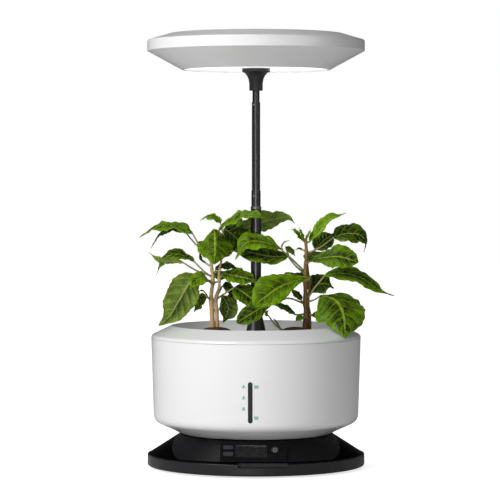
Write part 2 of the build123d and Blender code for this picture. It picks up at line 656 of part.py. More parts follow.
for name, (outer, bore, low, high) in STAGES.items():
    with BuildPart() as stage:
        with BuildSketch(Plane.XY.offset(low)):
            Circle(outer)
            Circle(bore, mode=Mode.SUBTRACT)
        extrude(amount=high - low)
        chamfer(stage.edges().filter_by(GeomType.CIRCLE).group_by(Axis.Z)[-1].sort_by(SortBy.RADIUS)[-1], 0.25)
        if name in ("mast_tube_2", "mast_tube_3"):
            with BuildSketch(screw_plane(name)):
                Circle(STOP_SCREW_RADIUS)
            extrude(amount=outer + 1, mode=Mode.SUBTRACT)
    stage.part.label = name
    export_step(stage.part, f"parts/{name}.step")

for name in ("mast_tube_2", "mast_tube_3"):
    outer, bore = STAGES[name][:2]
    with BuildPart() as stop_screw:
        with BuildSketch(screw_plane(name).offset(bore + 0.05)):
            Circle(STOP_SCREW_RADIUS - 0.05)
        extrude(amount=outer - bore + 0.6)
        fillet(stop_screw.edges().sort_by_distance((0, 0, screw_plane(name).origin.Z))[-1], 0.3)
    stop_screw.part.label = name.replace("mast_tube", "stop_screw")
    export_step(stop_screw.part, f"parts/{name.replace('mast_tube', 'stop_screw')}.step")

tube_top = STAGES["mast_tube_1"][3]

with BuildPart() as mast_collar:
    extrude(Plane.XY.offset(tube_top).location * ring(6.75, 5.95), amount=COLLAR_HEIGHT)
    chamfer(mast_collar.edges().filter_by(GeomType.CIRCLE).sort_by(SortBy.RADIUS)[-2:], 0.3)
mast_collar.part.label = "mast_collar"
export_step(mast_collar.part, "parts/mast_collar.step")

# ================================================================ lamp
with BuildPart() as lamp_neck:
    rod_clear = STAGES["mast_rod_4"][0] + 0.2
    revolve(turned(
        (rod_clear, NECK_BOTTOM), (8.4, NECK_BOTTOM), (8.4, 479), (9.5, 484.9), (11.4, 488.8),
        (14.3, 492.3), (17.6, 493.6), (17.6, NECK_TOP), (3, NECK_TOP), (3, 488), (rod_clear, 488),
        rounds={1: 0.8, 2: 12.0, 3: 6.0, 4: 6.0, 5: 3.0, 6: 0.8},
    ), axis=Axis.Z)
lamp_neck.part.label = "lamp_neck"
export_step(lamp_neck.part, "parts/lamp_neck.step")

with BuildPart() as lamp_hub:
    extrude(Plane.XY.offset(NECK_TOP).location * ring(19.4, 3), amount=SPREADER_BOTTOM - NECK_TOP)
lamp_hub.part.label = "lamp_hub"
export_step(lamp_hub.part, "parts/lamp_hub.step")

cone_run = (LAMP_RADIUS - LAMP_FOOT_RADIUS) / (LAMP_KNEE - LAMP_FOOT)  # radius gained per mm of height
wall_run = LAMP_WALL * sqrt(1 + cone_run**2)  # the wall's thickness measured along a radius
ledge_top = LAMP_FOOT + 2.5
inner_radius = LAMP_RADIUS - LAMP_WALL

with BuildPart() as lamp_shade:
    revolve(turned(
        (LAMP_OPENING, LAMP_FOOT), (LAMP_FOOT_RADIUS, LAMP_FOOT), (LAMP_RADIUS, LAMP_KNEE),
        (LAMP_RADIUS, LAMP_SEAM), (inner_radius, LAMP_SEAM),
        (inner_radius, LAMP_KNEE + (inner_radius - LAMP_RADIUS + wall_run) / cone_run),
        (LAMP_FOOT_RADIUS + 2.5 * cone_run - wall_run, ledge_top), (LAMP_OPENING, ledge_top),
        rounds={1: 0.6, 2: 1.2},
    ), axis=Axis.Z)
    with BuildSketch(Plane.XY.offset(ledge_top + 1.5)):
        with PolarLocations(SPREADER_SCREW_CIRCLE, 6):
            Circle(SCREW_BOSS_RADIUS)
    extrude(amount=SPREADER_BOTTOM - ledge_top - 1.5)
    with Locations(Plane.XY.offset(SPREADER_BOTTOM - 3.4).location):
        with PolarLocations(SPREADER_SCREW_CIRCLE, 6):
            Cylinder(1.25, 3.4, align=UP, mode=Mode.SUBTRACT)
lamp_shade.part.label = "lamp_shade"
export_step(lamp_shade.part, "parts/lamp_shade.step")

with BuildPart() as lamp_diffuser:
    extrude(Plane.XY.offset(ledge_top).location * ring(DIFFUSER_RADIUS, 20), amount=1.6)
lamp_diffuser.part.label = "lamp_diffuser"
export_step(lamp_diffuser.part, "parts/lamp_diffuser.step")

with BuildPart() as led_board:
    extrude(Plane.XY.offset(SPREADER_BOTTOM - 1.6).location * ring(88, 20), amount=1.6)
led_board.part.label = "led_board"
export_step(led_board.part, "parts/led_board.step")

with BuildPart() as led_chips:
    for radius, count in LED_RINGS.items():
        with BuildSketch(Plane.XY.offset(SPREADER_BOTTOM - 2.4)):
            with PolarLocations(radius, count):
                Rectangle(2.8, 2.8)
        extrude(amount=0.8)
led_chips.part.label = "led_chips"
export_step(led_chips.part, "parts/led_chips.step")

with BuildPart() as heat_spreader:
    with BuildSketch(Plane.XY.offset(SPREADER_BOTTOM)):
        Circle(SPREADER_RADIUS)
        Circle(3, mode=Mode.SUBTRACT)
        with PolarLocations(SPREADER_SCREW_CIRCLE, 6):
            Circle(1.5, mode=Mode.SUBTRACT)
    extrude(amount=2)
heat_spreader.part.label = "heat_spreader"
export_step(heat_spreader.part, "parts/heat_spreader.step")

with BuildPart() as spreader_screws:
    with Locations(Plane.XY.offset(SPREADER_BOTTOM - 3).location):
        with PolarLocations(SPREADER_SCREW_CIRCLE, 6):
            Cylinder(1.2, 5, align=UP)
    with Locations(Plane.XY.offset(SPREADER_BOTTOM + 2).location):
        with PolarLocations(SPREADER_SCREW_CIRCLE, 6):
            Cylinder(2.4, 1.6, align=UP)
spreader_screws.part.label = "spreader_screws"
export_step(spreader_screws.part, "parts/spreader_screws.step")

with BuildPart() as lamp_driver:
    with BuildSketch(Plane.XY.offset(SPREADER_BOTTOM + 2)):
        with Locations((0, 44)):
            RectangleRounded(72, 40, 3)
    extrude(amount=17)
lamp_driver.part.label = "lamp_driver"
export_step(lamp_driver.part, "parts/lamp_driver.step")

with BuildPart() as lamp_top_cover:
    revolve(turned(
        (LAMP_RADIUS, LAMP_SEAM), (LAMP_RADIUS, LAMP_SEAM + 1.8), (LAMP_FLAT_RADIUS, LAMP_TOP), (0, LAMP_TOP),
        (0, LAMP_TOP - LAMP_WALL), (LAMP_FLAT_RADIUS - 0.4, LAMP_TOP - LAMP_WALL),
        (inner_radius - 2.2, LAMP_SEAM + 0.6), (inner_radius - 2.2, LAMP_SEAM - 4),
        (inner_radius - 0.2, LAMP_SEAM - 4), (inner_radius - 0.2, LAMP_SEAM),
        rounds={1: 2.4, 2: 10.0},
    ), axis=Axis.Z)
lamp_top_cover.part.label = "lamp_top_cover"
export_step(lamp_top_cover.part, "parts/lamp_top_cover.step")

# ================================================================ plants
LEAF_THICKNESS = 0.9
STALK_RADIUS, STALK_END_RADIUS = 1.1, 0.8
# a blade's width at each point of its midrib as a share of its full width, by the number of points
BLADE_SHARES = {
    4: (0.25, 1.0, 0.8, 0.05),
    5: (0.2, 0.85, 1.0, 0.6, 0.05),
    6: (0.2, 0.75, 1.0, 0.8, 0.45, 0.05),
}

# stems: (points from the foot up, radius at the foot, radius at the end)
STEMS = {
    "left": [
        (((-54, 0, 170), (-55, 0, 192), (-56, 0, 215), (-54, 0, 233), (-56, 0, 256),
          (-55, -1, 288)), 3.4, 1.2),
        (((-48, 2, 170), (-49, 1.5, 190), (-50, 1, 210), (-46, 0, 225), (-46, -1, 243), (-42, -2, 265),
          (-38, -2, 285)), 2.6, 1.1),
    ],
    "right": [
        (((61, 0, 170), (62, 0, 180), (63, 0, 192), (62, 0, 225), (62, 0, 246), (63, 0, 266), (62, 0, 286)),
         3.9, 1.6),
        (((67, 3, 170), (67, 3, 190), (65, 2, 206), (67, 2, 228), (63, 1, 262)), 2.5, 1.1),
    ],
}

# leaves: (joint on the stem, points of the midrib, width, roll); roll tips the top of the blade to the front
LEAVES = {
    "left": [
        ((-56, 0, 256), ((-79, 3, 292), (-101, 6, 300), (-127, 9, 298), (-147, 12, 286)), 34, 18),
        ((-57, 1, 262), ((-88, 18, 293), (-108, 21, 296), (-122, 24, 288), (-133, 27, 272)), 22, 20),
        ((-54, 0, 236), ((-77, 6, 257), (-97, 8, 265), (-115, 9, 259), (-126, 10, 238)), 26, 30),
        ((-54, 0, 238), ((-90, -12, 256), (-105, -14, 258), (-119, -16, 259), (-134, -18, 269)), 13, -40),
        ((-56, 0, 250), ((-62, 2, 255), (-68, 3, 258), (-70, 4, 264), (-70, 5, 272)), 7, 10),
        ((-54, 0, 232), ((-75, -8, 240), (-85, -16, 226), (-96, -22, 208), (-107, -28, 190),
                         (-121, -32, 178)), 44, -96),
        ((-54, 0, 229), ((-57, -14, 232), (-66, -24, 238), (-76, -31, 232), (-82, -35, 222)), 22, 42),
        ((-55, 0, 209), ((-62, 4, 212), (-68, 8, 208), (-74, 12, 201), (-78, 16, 192)), 22, 66),
        ((-39, -2, 283), ((-44, 8, 305), (-53, 11, 311), (-62, 14, 312), (-71, 17, 307)), 21, 18),
        ((-39, -2, 282), ((-47, -12, 296), (-30, -20, 309), (-2, -27, 316), (17, -25, 308)), 36, 20),
        ((-38, -2, 284), ((-24, 14, 293), (-4, 24, 302), (20, 28, 308), (40, 30, 311),
         (50, 30, 303)), 38, -46),
        ((-55, -1, 286), ((-52, -10, 298), (-51, -20, 284), (-51, -27, 268), (-52, -31, 254)), 42, 0),
        ((-38, -2, 284), ((-40, 2, 298), (-31, 5, 291), (-21, 8, 282), (-10, 12, 270)), 44, 62),
        ((-38, -2, 284), ((-38, 12, 296), (-27, 15, 300), (-17, 18, 297), (-8, 22, 288)), 30, 55),
        ((-54, 0, 238), ((-51, 2, 246), (-42, 4, 250), (-31, 5, 250), (-17, 6, 243)), 20, 24),
        ((-46, 0, 234), ((-42, -8, 242), (-25, -14, 239), (-8, -20, 235), (4, -24, 230)), 28, 38),
        ((-49, 1, 210), ((-27, -8, 225), (-17, -14, 219), (-6, -19, 211), (5, -22, 203)), 30, 45),
        ((-49, 1, 210), ((-43, 4, 214), (-37, 7, 206), (-35, 9, 195), (-41, 11, 179)), 25, 0),
        ((-49, 1, 214), ((-42, 8, 226), (-34, 12, 221), (-28, 15, 209), (-25, 17, 194)), 28, 50),
        ((-56, 0, 206), ((-60, -6, 214), (-64, -9, 219), (-68, -12, 221), (-72, -15, 219)), 6, 30),
        ((-50, 1, 196), ((-46, -6, 198), (-44, -8, 200), (-43, -9, 203), (-41, -10, 206)), 4, 30),
        ((-55, 0, 246), ((-57, 14, 262), (-60, 28, 275), (-62, 44, 280), (-62, 58, 274)), 30, 0),
        ((-53, 0, 230), ((-46, 14, 233), (-39, 30, 240), (-33, 46, 240), (-28, 60, 232)), 30, 0),
    ],
    "right": [
        ((62, 0, 280), ((67, 2, 282), (78, 5, 297), (92, 8, 312), (104, 9, 314), (114, 11, 318)), 18, 35),
        ((62, 0, 284), ((58, -2, 284), (52, -4, 291), (49, -6, 295), (43, -8, 298)), 13, 40),
        ((62, 0, 284), ((60, -1, 282), (58, -1, 288), (56, 0, 294), (54, 1, 300)), 13, 0),
        ((62, 0, 284), ((62, 2, 284), (65, 3, 289), (67, 4, 293), (69, 5, 298)), 9, 0),
        ((63, 0, 266), ((97, 12, 287), (114, 16, 291), (129, 20, 290), (138, 23, 281),
         (136, 24, 267)), 32, 52),
        ((63, 0, 264), ((74, 14, 272), (82, 20, 279), (92, 26, 287), (101, 32, 291)), 27, 45),
        ((62, 0, 254), ((66, -10, 257), (85, -18, 262), (105, -26, 263), (127, -32, 257)), 37, 50),
        ((64, 0, 210), ((86, -6, 240), (107, -9, 242), (132, -12, 236), (154, -12, 221),
         (174, -12, 214)), 27, 40),
        ((64, 0, 208), ((68, 8, 218), (76, 12, 226), (88, 16, 228), (99, 18, 222)), 32, 55),
        ((64, 0, 206), ((80, -24, 216), (97, -42, 210), (107, -59, 193), (109, -76, 166)), 64, 20),
        ((62, 0, 232), ((69, -10, 239), (47, -20, 233), (29, -30, 226), (11, -38, 214),
         (-3, -44, 203)), 42, 54),
        ((60, 0, 204), ((26, -34, 209), (9, -42, 202), (-8, -49, 193), (-24, -53, 183)), 26, 50),
        ((61, 0, 191), ((49, -4, 191), (40, -8, 197), (30, -11, 202), (19, -14, 203)), 15, 38),
        ((36, -4, 169), ((30, -5, 175), (27, -6, 179), (24, -7, 183), (21, -8, 187)), 9, 20),
        ((35, -3, 169), ((15, -9, 189), (13, -10, 192), (14, -11, 195), (17, -12, 197)), 7, 20),
        ((62, 0, 187), ((60, -6, 187), (56, -8, 187), (52, -9, 185), (49, -10, 182)), 11, 35),
        ((41, -17, 263), ((37, -17, 276), (41, -19, 273), (45, -21, 269), (49, -22, 264)), 10, 30),
        ((33, -25, 272), ((31, -24, 276), (34, -26, 281), (38, -28, 283), (42, -30, 284)), 6, 20),
        ((61, 0, 244), ((32, -26, 273), (12, -30, 281), (-12, -33, 281), (-26, -36, 260)), 32, 40),
        ((61, 0, 241), ((40, -16, 264), (18, -20, 264), (-12, -21, 269), (-33, -13, 271)), 28, 50),
        ((65, 1, 190), ((70, -8, 191), (76, -14, 192), (82, -18, 190), (88, -21, 184)), 15, 40),
        ((61, 0, 204), ((57, 4, 208), (53, 6, 213), (48, 8, 218), (43, 9, 223)), 12, 30),
        ((62, 0, 270), ((58, 2, 272), (54, 3, 273), (51, 4, 272), (48, 5, 270)), 6, 20),
        ((62, 0, 250), ((66, 12, 256), (74, 27, 264), (82, 43, 266), (88, 58, 260)), 30, 0),
        ((62, 0, 228), ((58, 12, 233), (53, 28, 238), (47, 44, 239), (42, 60, 232)), 30, 0),
    ],
}


def leaf_blade(midrib, width, roll):
    """Thin closed blade: cross-sections along the midrib, wide in the middle and pointed at the tip."""
    points = [Vector(*point) for point in midrib]
    chord = points[-1] - points[0]
    side = chord.cross(Vector(0, 0, 1)).normalized()
    if side.Y < 0:
        side = side * -1
    lift = chord.cross(side).normalized()
    if lift.Z < 0:
        lift = lift * -1
    side = side * cos(radians(roll)) + lift * sin(radians(roll))
    with BuildPart() as blade:
        for index, share in enumerate(BLADE_SHARES[len(points)]):
            heading = points[min(index + 1, len(points) - 1)] - points[max(index - 1, 0)]
            with BuildSketch(Plane(origin=points[index], x_dir=side, z_dir=heading.normalized())):
                Rectangle(width * share, LEAF_THICKNESS)
        loft(ruled=True)
    return blade.part


def limb(start, end, start_radius, end_radius):
    """Tapered round limb between two points, with a rounded end so that limbs join smoothly."""
    axis = Vector(*end) - Vector(*start)
    with BuildPart() as rod:
        with BuildSketch(Plane(origin=start, z_dir=axis)):
            Circle(start_radius)
        with BuildSketch(Plane(origin=end, z_dir=axis)):
            Circle(end_radius)
        loft()
        with Locations(end):
            Sphere(end_radius)
    return rod.part


def stem(points, foot_radius, end_radius):
    """Limbs that follow one stem through its points, thinner towards the end."""
    last = len(points) - 1
    radii = [foot_radius + (end_radius - foot_radius) * index / last for index in range(last + 1)]
    return [limb(*stretch) for stretch in zip(points, points[1:], radii, radii[1:])]


for side in pods:
    limbs = [rod for shoot in STEMS[side] for rod in stem(*shoot)]
    limbs += [limb(joint, midrib[0], STALK_RADIUS, STALK_END_RADIUS) for joint, midrib, *_ in LEAVES[side]]
    with BuildPart() as plant_stem:
        add(limbs[0].fuse(*limbs[1:]))
    plant_stem.part.label = f"plant_stem_{side}"
    export_step(plant_stem.part, f"parts/plant_stem_{side}.step")
    blades = [leaf_blade(*blade) for _, *blade in LEAVES[side]]
    foliage = Compound(label=f"foliage_{side}", children=blades)
    export_step(foliage, f"parts/foliage_{side}.step")
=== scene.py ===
"""Dresses the countertop hydroponic garden: a finish for every solid piece, and plants modelled leaf by leaf.

Lengths in the dataclasses are millimetres unless a name says otherwise; Blender's own units are metres.
+Z is up, -Y faces the user, and the origin lies on the worktop under the mast.
"""

import logging
import math
import random
from bisect import bisect_right
from collections.abc import Callable, Sequence
from dataclasses import dataclass, field
from enum import Enum
from functools import cache
from typing import Protocol

import bpy
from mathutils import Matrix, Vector, noise


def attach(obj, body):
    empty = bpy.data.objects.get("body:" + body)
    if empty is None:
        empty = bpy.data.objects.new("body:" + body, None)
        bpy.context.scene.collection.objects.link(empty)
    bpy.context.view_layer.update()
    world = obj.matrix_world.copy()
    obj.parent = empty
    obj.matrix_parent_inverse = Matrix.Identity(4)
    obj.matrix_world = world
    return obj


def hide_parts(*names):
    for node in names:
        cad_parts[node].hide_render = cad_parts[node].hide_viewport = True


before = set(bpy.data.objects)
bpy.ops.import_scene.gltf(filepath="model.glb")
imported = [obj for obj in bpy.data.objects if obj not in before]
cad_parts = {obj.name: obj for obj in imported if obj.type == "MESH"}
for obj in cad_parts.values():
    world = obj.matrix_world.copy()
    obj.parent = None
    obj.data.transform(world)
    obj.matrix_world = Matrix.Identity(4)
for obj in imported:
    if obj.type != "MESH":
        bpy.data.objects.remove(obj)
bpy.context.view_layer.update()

MM = 0.001
Colour = tuple[float, float, float]
Point = tuple[float, float, float]
log = logging.getLogger("hydroponic_garden")


# ---------------------------------------------------------------- shader graphs
class Socket(str, Enum):
    """Inputs of the Principled shader that the finishes set or link."""

    COLOUR = "Base Color"
    ROUGHNESS = "Roughness"
    METALLIC = "Metallic"
    IOR = "IOR"
    NORMAL = "Normal"
    SPECULAR = "Specular IOR Level"
    COAT = "Coat Weight"
    COAT_ROUGHNESS = "Coat Roughness"
    TRANSMISSION = "Transmission Weight"
    SUBSURFACE = "Subsurface Weight"
    SUBSURFACE_RADIUS = "Subsurface Radius"
    SUBSURFACE_SCALE = "Subsurface Scale"
    ANISOTROPY = "Anisotropic"
    SHEEN = "Sheen Weight"
    GLOW = "Emission Strength"
    GLOW_COLOUR = "Emission Color"


class Graph:
    """Adds nodes and links to one new material."""

    def __init__(self, name: str) -> None:
        """Starts a material with a Principled shader.

        Args:
            name: The material's name.
        """
        self.material = bpy.data.materials.new(name)
        self.material.use_nodes = True
        self.tree = self.material.node_tree
        self.shader = self.tree.nodes["Principled BSDF"]

    def fix(self, socket: Socket, value: float | Sequence[float]) -> None:
        """Sets one of the shader's sockets to a value that is the same all over the surface.

        Args:
            socket: The input to set.
            value: A number, a colour of three parts, or a vector.
        """
        target = self.shader.inputs[socket.value]
        if target.type == "RGBA":
            target.default_value = (*value, 1.0)
        else:
            target.default_value = value

    def link(self, source: bpy.types.NodeSocket, target: bpy.types.NodeSocket | Socket) -> None:
        """Links an output to an input, or to one of the shader's named sockets."""
        if isinstance(target, Socket):
            target = self.shader.inputs[target.value]
        self.tree.links.new(source, target)

    def add(self, kind: str) -> bpy.types.Node:
        """Adds a node of a kind, such as "TexNoise"."""
        return self.tree.nodes.new(f"ShaderNode{kind}")

    def place(self, stretch: Point = (1.0, 1.0, 1.0)) -> bpy.types.NodeSocket:
        """Gives positions in the object's own metres, stretched along its axes.

        Args:
            stretch: Factor along X, Y and Z.

        Returns:
            The vector output.
        """
        mapping = self.add("Mapping")
        mapping.inputs["Scale"].default_value = stretch
        self.link(self.add("TexCoord").outputs["Object"], mapping.inputs["Vector"])
        return mapping.outputs["Vector"]

    def noise(self, size: float, detail: float = 3.0,
              stretch: Point = (1.0, 1.0, 1.0)) -> bpy.types.NodeSocket:
        """Gives a soft random value.

        Args:
            size: Width of a blotch in millimetres.
            detail: How many finer layers it has.
            stretch: Factor on the frequency along X, Y and Z.

        Returns:
            The value output, around 0.5.
        """
        texture = self.add("TexNoise")
        texture.inputs["Scale"].default_value = 1.0 / (size * MM)
        texture.inputs["Detail"].default_value = detail
        self.link(self.place(stretch), texture.inputs["Vector"])
        return texture.outputs["Fac"]

    def cells(self, size: float, edges: bool = False) -> bpy.types.NodeSocket:
        """Gives the distance within a random cell pattern.

        Args:
            size: Width of a cell in millimetres.
            edges: True for the distance to the cell's edge rather than to its centre.

        Returns:
            The distance output.
        """
        texture = self.add("TexVoronoi")
        texture.feature = "DISTANCE_TO_EDGE" if edges else "F1"
        texture.inputs["Scale"].default_value = 1.0 / (size * MM)
        self.link(self.place(), texture.inputs["Vector"])
        return texture.outputs["Distance"]

    def sum(self, operation: str, first: object, second: object = 0.0,
            clamp: bool = False) -> bpy.types.NodeSocket:
        """Does arithmetic on values that vary over the surface.

        Args:
            operation: Blender's name of the operation, such as "MULTIPLY".
            first: A socket or a number.
            second: A socket or a number.
            clamp: True to keep the result between 0 and 1.

        Returns:
            The result's output.
        """
        node = self.add("Math")
        node.operation, node.use_clamp = operation, clamp
        for value, target in zip((first, second), node.inputs):
            if isinstance(value, (int, float)):
                target.default_value = value
            else:
                self.link(value, target)
        return node.outputs["Value"]

    def spread(self, source: bpy.types.NodeSocket, low: float, high: float, to_low: float = 0.0,
               to_high: float = 1.0) -> bpy.types.NodeSocket:
        """Maps a range of values smoothly onto another, with the ends held.

        Args:
            source: The value to map.
            low: Value that gives to_low.
            high: Value that gives to_high.
            to_low: Result at low.
            to_high: Result at high.

        Returns:
            The mapped value's output.
        """
        node = self.add("MapRange")
        node.interpolation_type = "SMOOTHSTEP"
        for name, value in zip(("From Min", "From Max", "To Min", "To Max"), (low, high, to_low, to_high)):
            node.inputs[name].default_value = value
        self.link(source, node.inputs["Value"])
        return node.outputs["Result"]

    def tint(self, share: bpy.types.NodeSocket, first: object, second: object) -> bpy.types.NodeSocket:
        """Mixes two colours by a share that varies over the surface.

        Args:
            share: 0 gives the first colour and 1 the second.
            first: A colour or a colour output.
            second: A colour or a colour output.

        Returns:
            The colour output.
        """
        node = self.add("Mix")
        node.data_type = "RGBA"
        self.link(share, node.inputs[0])
        for value, target in zip((first, second), (node.inputs[6], node.inputs[7])):
            if isinstance(value, tuple):
                target.default_value = (*value, 1.0)
            else:
                self.link(value, target)
        return node.outputs[2]

    def relief(self, height: bpy.types.NodeSocket, depth: float, strength: float = 1.0,
               over: bpy.types.NodeSocket | None = None) -> bpy.types.NodeSocket:
        """Turns a height between 0 and 1 into a bumped normal.

        Args:
            height: The height output.
            depth: Height in millimetres that 1 stands for.
            strength: How strongly it shows.
            over: A normal that it is laid over.

        Returns:
            The normal output.
        """
        node = self.add("Bump")
        node.inputs["Distance"].default_value = depth * MM
        node.inputs["Strength"].default_value = strength
        self.link(height, node.inputs["Height"])
        if over is not None:
            self.link(over, node.inputs["Normal"])
        return node.outputs["Normal"]

    def rubbed_edges(self, radius: float) -> bpy.types.NodeSocket:
        """Gives a value that rises towards 1 near sharp edges.

        Args:
            radius: Width of the rubbed band in millimetres.

        Returns:
            The value's output.
        """
        bevel = self.add("Bevel")
        bevel.samples = 4
        bevel.inputs["Radius"].default_value = radius * MM
        compare = self.add("VectorMath")
        compare.operation = "DOT_PRODUCT"
        self.link(bevel.outputs["Normal"], compare.inputs[0])
        self.link(self.add("NewGeometry").outputs["Normal"], compare.inputs[1])
        return self.spread(compare.outputs["Value"], 0.995, 0.75)


# ---------------------------------------------------------------- finishes
class Finish(Protocol):
    """Anything that can build the material of a piece."""

    def build(self) -> bpy.types.Material:
        """Makes the material."""
        ...


@cache
def material_of(finish: Finish) -> bpy.types.Material:
    """Gives the one material that a finish stands for."""
    return finish.build()


@dataclass(frozen=True)
class MouldedPlastic:
    """Injection-moulded plastic: polished or spark-eroded skin, handling marks and rubbed edges."""

    name: str
    colour: Colour
    roughness: float
    grain_depth: float = 0.01
    grain_size: float = 0.5
    smudge: float = 0.06
    coat: float = 0.0
    specular: float = 0.5
    rub_colour: Colour | None = None
    rub_radius: float = 0.5
    mottle: float = 0.04

    def build(self) -> bpy.types.Material:
        """Makes the material.

        Returns:
            The plastic's material.
        """
        graph = Graph(self.name)
        mottle = graph.noise(28.0, 4.0)
        darker = tuple(part * (1.0 - self.mottle) for part in self.colour)
        skin = graph.tint(mottle, darker, self.colour)
        smears = graph.noise(14.0, 5.0, (1.0, 1.0, 2.6))
        roughness = graph.spread(smears, 0.35, 0.7, self.roughness, self.roughness + self.smudge)
        if self.rub_colour is not None:
            rubbed = graph.sum("MULTIPLY", graph.rubbed_edges(self.rub_radius), graph.noise(3.0, 4.0), True)
            skin = graph.tint(rubbed, skin, self.rub_colour)
            roughness = graph.sum("ADD", roughness, graph.sum("MULTIPLY", rubbed, 0.2))
        graph.link(skin, Socket.COLOUR)
        graph.link(roughness, Socket.ROUGHNESS)
        graph.fix(Socket.SPECULAR, self.specular)
        graph.fix(Socket.COAT, self.coat)
        graph.fix(Socket.COAT_ROUGHNESS, 0.06)
        ripple = graph.relief(graph.noise(22.0, 2.0), 0.06, 0.25)
        graph.link(graph.relief(graph.noise(self.grain_size, 3.0), self.grain_depth, 0.6, ripple),
                   Socket.NORMAL)
        return graph.material


@dataclass(frozen=True)
class RimmedPlastic:
    """Black housing plastic: polished on its slope, satin on its low rim, where a lighter grey is a painted
    reflection of the bright floor.
    """

    name: str
    slope_colour: Colour = (0.0012, 0.0012, 0.0015)
    rim_colour: Colour = (0.011, 0.011, 0.0125)
    rim_heights: tuple[float, float] = (16.2, 17.0)
    slope_roughness: float = 0.22
    rim_roughness: float = 0.3
    slope_specular: float = 0.004
    rim_specular: float = 0.35

    def build(self) -> bpy.types.Material:
        """Makes the material.

        Returns:
            The housing's material.
        """
        graph = Graph(self.name)
        parts = graph.add("SeparateXYZ")
        graph.link(graph.place(), parts.inputs["Vector"])
        low, high = self.rim_heights
        slope = graph.spread(parts.outputs["Z"], low * MM, high * MM)
        # the rim's lighter grey, with random dust patches on it, is a painted reflection of the floor; the
        # slope stays near black
        dust = graph.spread(graph.noise(7.0, 5.0), 0.4, 0.75, 0.0, 0.3)
        rim = graph.tint(dust, self.rim_colour, tuple(part * 1.8 for part in self.rim_colour))
        graph.link(graph.tint(slope, rim, self.slope_colour), Socket.COLOUR)
        smears = graph.spread(graph.noise(14.0, 5.0, (1.0, 1.0, 2.6)), 0.35, 0.7, 0.0, 0.08)
        roughness = graph.spread(slope, 0.0, 1.0, self.rim_roughness, self.slope_roughness)
        graph.link(graph.sum("ADD", roughness, smears), Socket.ROUGHNESS)
        graph.link(graph.spread(slope, 0.0, 1.0, self.rim_specular, self.slope_specular), Socket.SPECULAR)
        ripple = graph.relief(graph.noise(22.0, 2.0), 0.05, 0.25)
        graph.link(graph.relief(graph.noise(0.6), 0.004, 0.6, ripple), Socket.NORMAL)
        return graph.material


@dataclass(frozen=True)
class SoftRubber:
    """Matt rubber with a fine pebbled skin and dust in it."""

    name: str
    colour: Colour = (0.025, 0.025, 0.027)
    pebble: float = 0.5
    dust_colour: Colour = (0.12, 0.12, 0.115)

    def build(self) -> bpy.types.Material:
        """Makes the material.

        Returns:
            The rubber's material.
        """
        graph = Graph(self.name)
        dust = graph.spread(graph.noise(9.0, 5.0), 0.55, 0.8, 0.0, 0.35)
        graph.link(graph.tint(dust, self.colour, self.dust_colour), Socket.COLOUR)
        graph.link(graph.spread(graph.noise(5.0), 0.3, 0.7, 0.62, 0.8), Socket.ROUGHNESS)
        graph.fix(Socket.SHEEN, 0.15)
        graph.link(graph.relief(graph.cells(self.pebble), 0.05, 0.5), Socket.NORMAL)
        return graph.material


@dataclass(frozen=True)
class DrawnMetal:
    """Metal with fine drawing lines, either bare or under a black anodised layer."""

    name: str
    colour: Colour
    roughness: float
    line_stretch: Point
    metallic: float = 1.0
    bare: Colour = (0.45, 0.44, 0.42)
    anisotropy: float = 0.4
    rub_radius: float = 0.35

    def build(self) -> bpy.types.Material:
        """Makes the material.

        Returns:
            The metal's material.
        """
        graph = Graph(self.name)
        lines = graph.noise(1.4, 4.0, self.line_stretch)
        body = graph.tint(lines, tuple(part * 0.8 for part in self.colour), self.colour)
        rubbed = graph.sum("MULTIPLY", graph.rubbed_edges(self.rub_radius),
                           graph.spread(graph.noise(2.0, 4.0), 0.3, 0.6), True)
        graph.link(graph.tint(rubbed, body, self.bare), Socket.COLOUR)
        graph.link(graph.spread(lines, 0.2, 0.8, self.roughness - 0.05, self.roughness + 0.09),
                   Socket.ROUGHNESS)
        graph.fix(Socket.METALLIC, self.metallic)
        graph.fix(Socket.ANISOTROPY, self.anisotropy)
        graph.link(graph.relief(lines, 0.012, 0.5), Socket.NORMAL)
        return graph.material


@dataclass(frozen=True)
class ClearPlastic:
    """See-through moulded window or tube with a faint tint and fine hairlines."""

    name: str
    colour: Colour
    roughness: float = 0.06
    transmission: float = 1.0
    haze: float = 0.1
    specular: float = 0.5
    glow: float = 0.0

    def build(self) -> bpy.types.Material:
        """Makes the material.

        Returns:
            The clear plastic's material.
        """
        graph = Graph(self.name)
        streaks = graph.noise(6.0, 5.0, (1.0, 1.0, 0.25))
        graph.link(graph.tint(streaks, tuple(part * 0.9 for part in self.colour), self.colour), Socket.COLOUR)
        graph.link(graph.spread(streaks, 0.45, 0.75, self.roughness, self.roughness + self.haze),
                   Socket.ROUGHNESS)
        graph.fix(Socket.TRANSMISSION, self.transmission)
        graph.fix(Socket.SPECULAR, self.specular)
        graph.fix(Socket.IOR, 1.49)
        graph.fix(Socket.GLOW_COLOUR, (1.0, 1.0, 1.0))
        graph.fix(Socket.GLOW, self.glow)
        graph.link(graph.relief(graph.noise(10.0, 2.0), 0.03, 0.3), Socket.NORMAL)
        return graph.material


@dataclass(frozen=True)
class CircuitBoard:
    """Lacquered board with a net of copper tracks under the lacquer."""

    name: str
    colour: Colour = (0.012, 0.11, 0.045)
    track_colour: Colour = (0.05, 0.26, 0.1)
    track_size: float = 3.2

    def build(self) -> bpy.types.Material:
        """Makes the material.

        Returns:
            The board's material.
        """
        graph = Graph(self.name)
        bricks = graph.add("TexBrick")
        bricks.inputs["Scale"].default_value = 1.0 / (self.track_size * MM)
        bricks.inputs["Mortar Size"].default_value = 0.05
        graph.link(graph.place(), bricks.inputs["Vector"])
        tracks = bricks.outputs["Fac"]
        graph.link(graph.tint(tracks, self.colour, self.track_colour), Socket.COLOUR)
        graph.link(graph.spread(graph.noise(4.0), 0.3, 0.7, 0.3, 0.42), Socket.ROUGHNESS)
        graph.fix(Socket.COAT, 0.4)
        graph.link(graph.relief(tracks, 0.04, 0.6), Socket.NORMAL)
        return graph.material


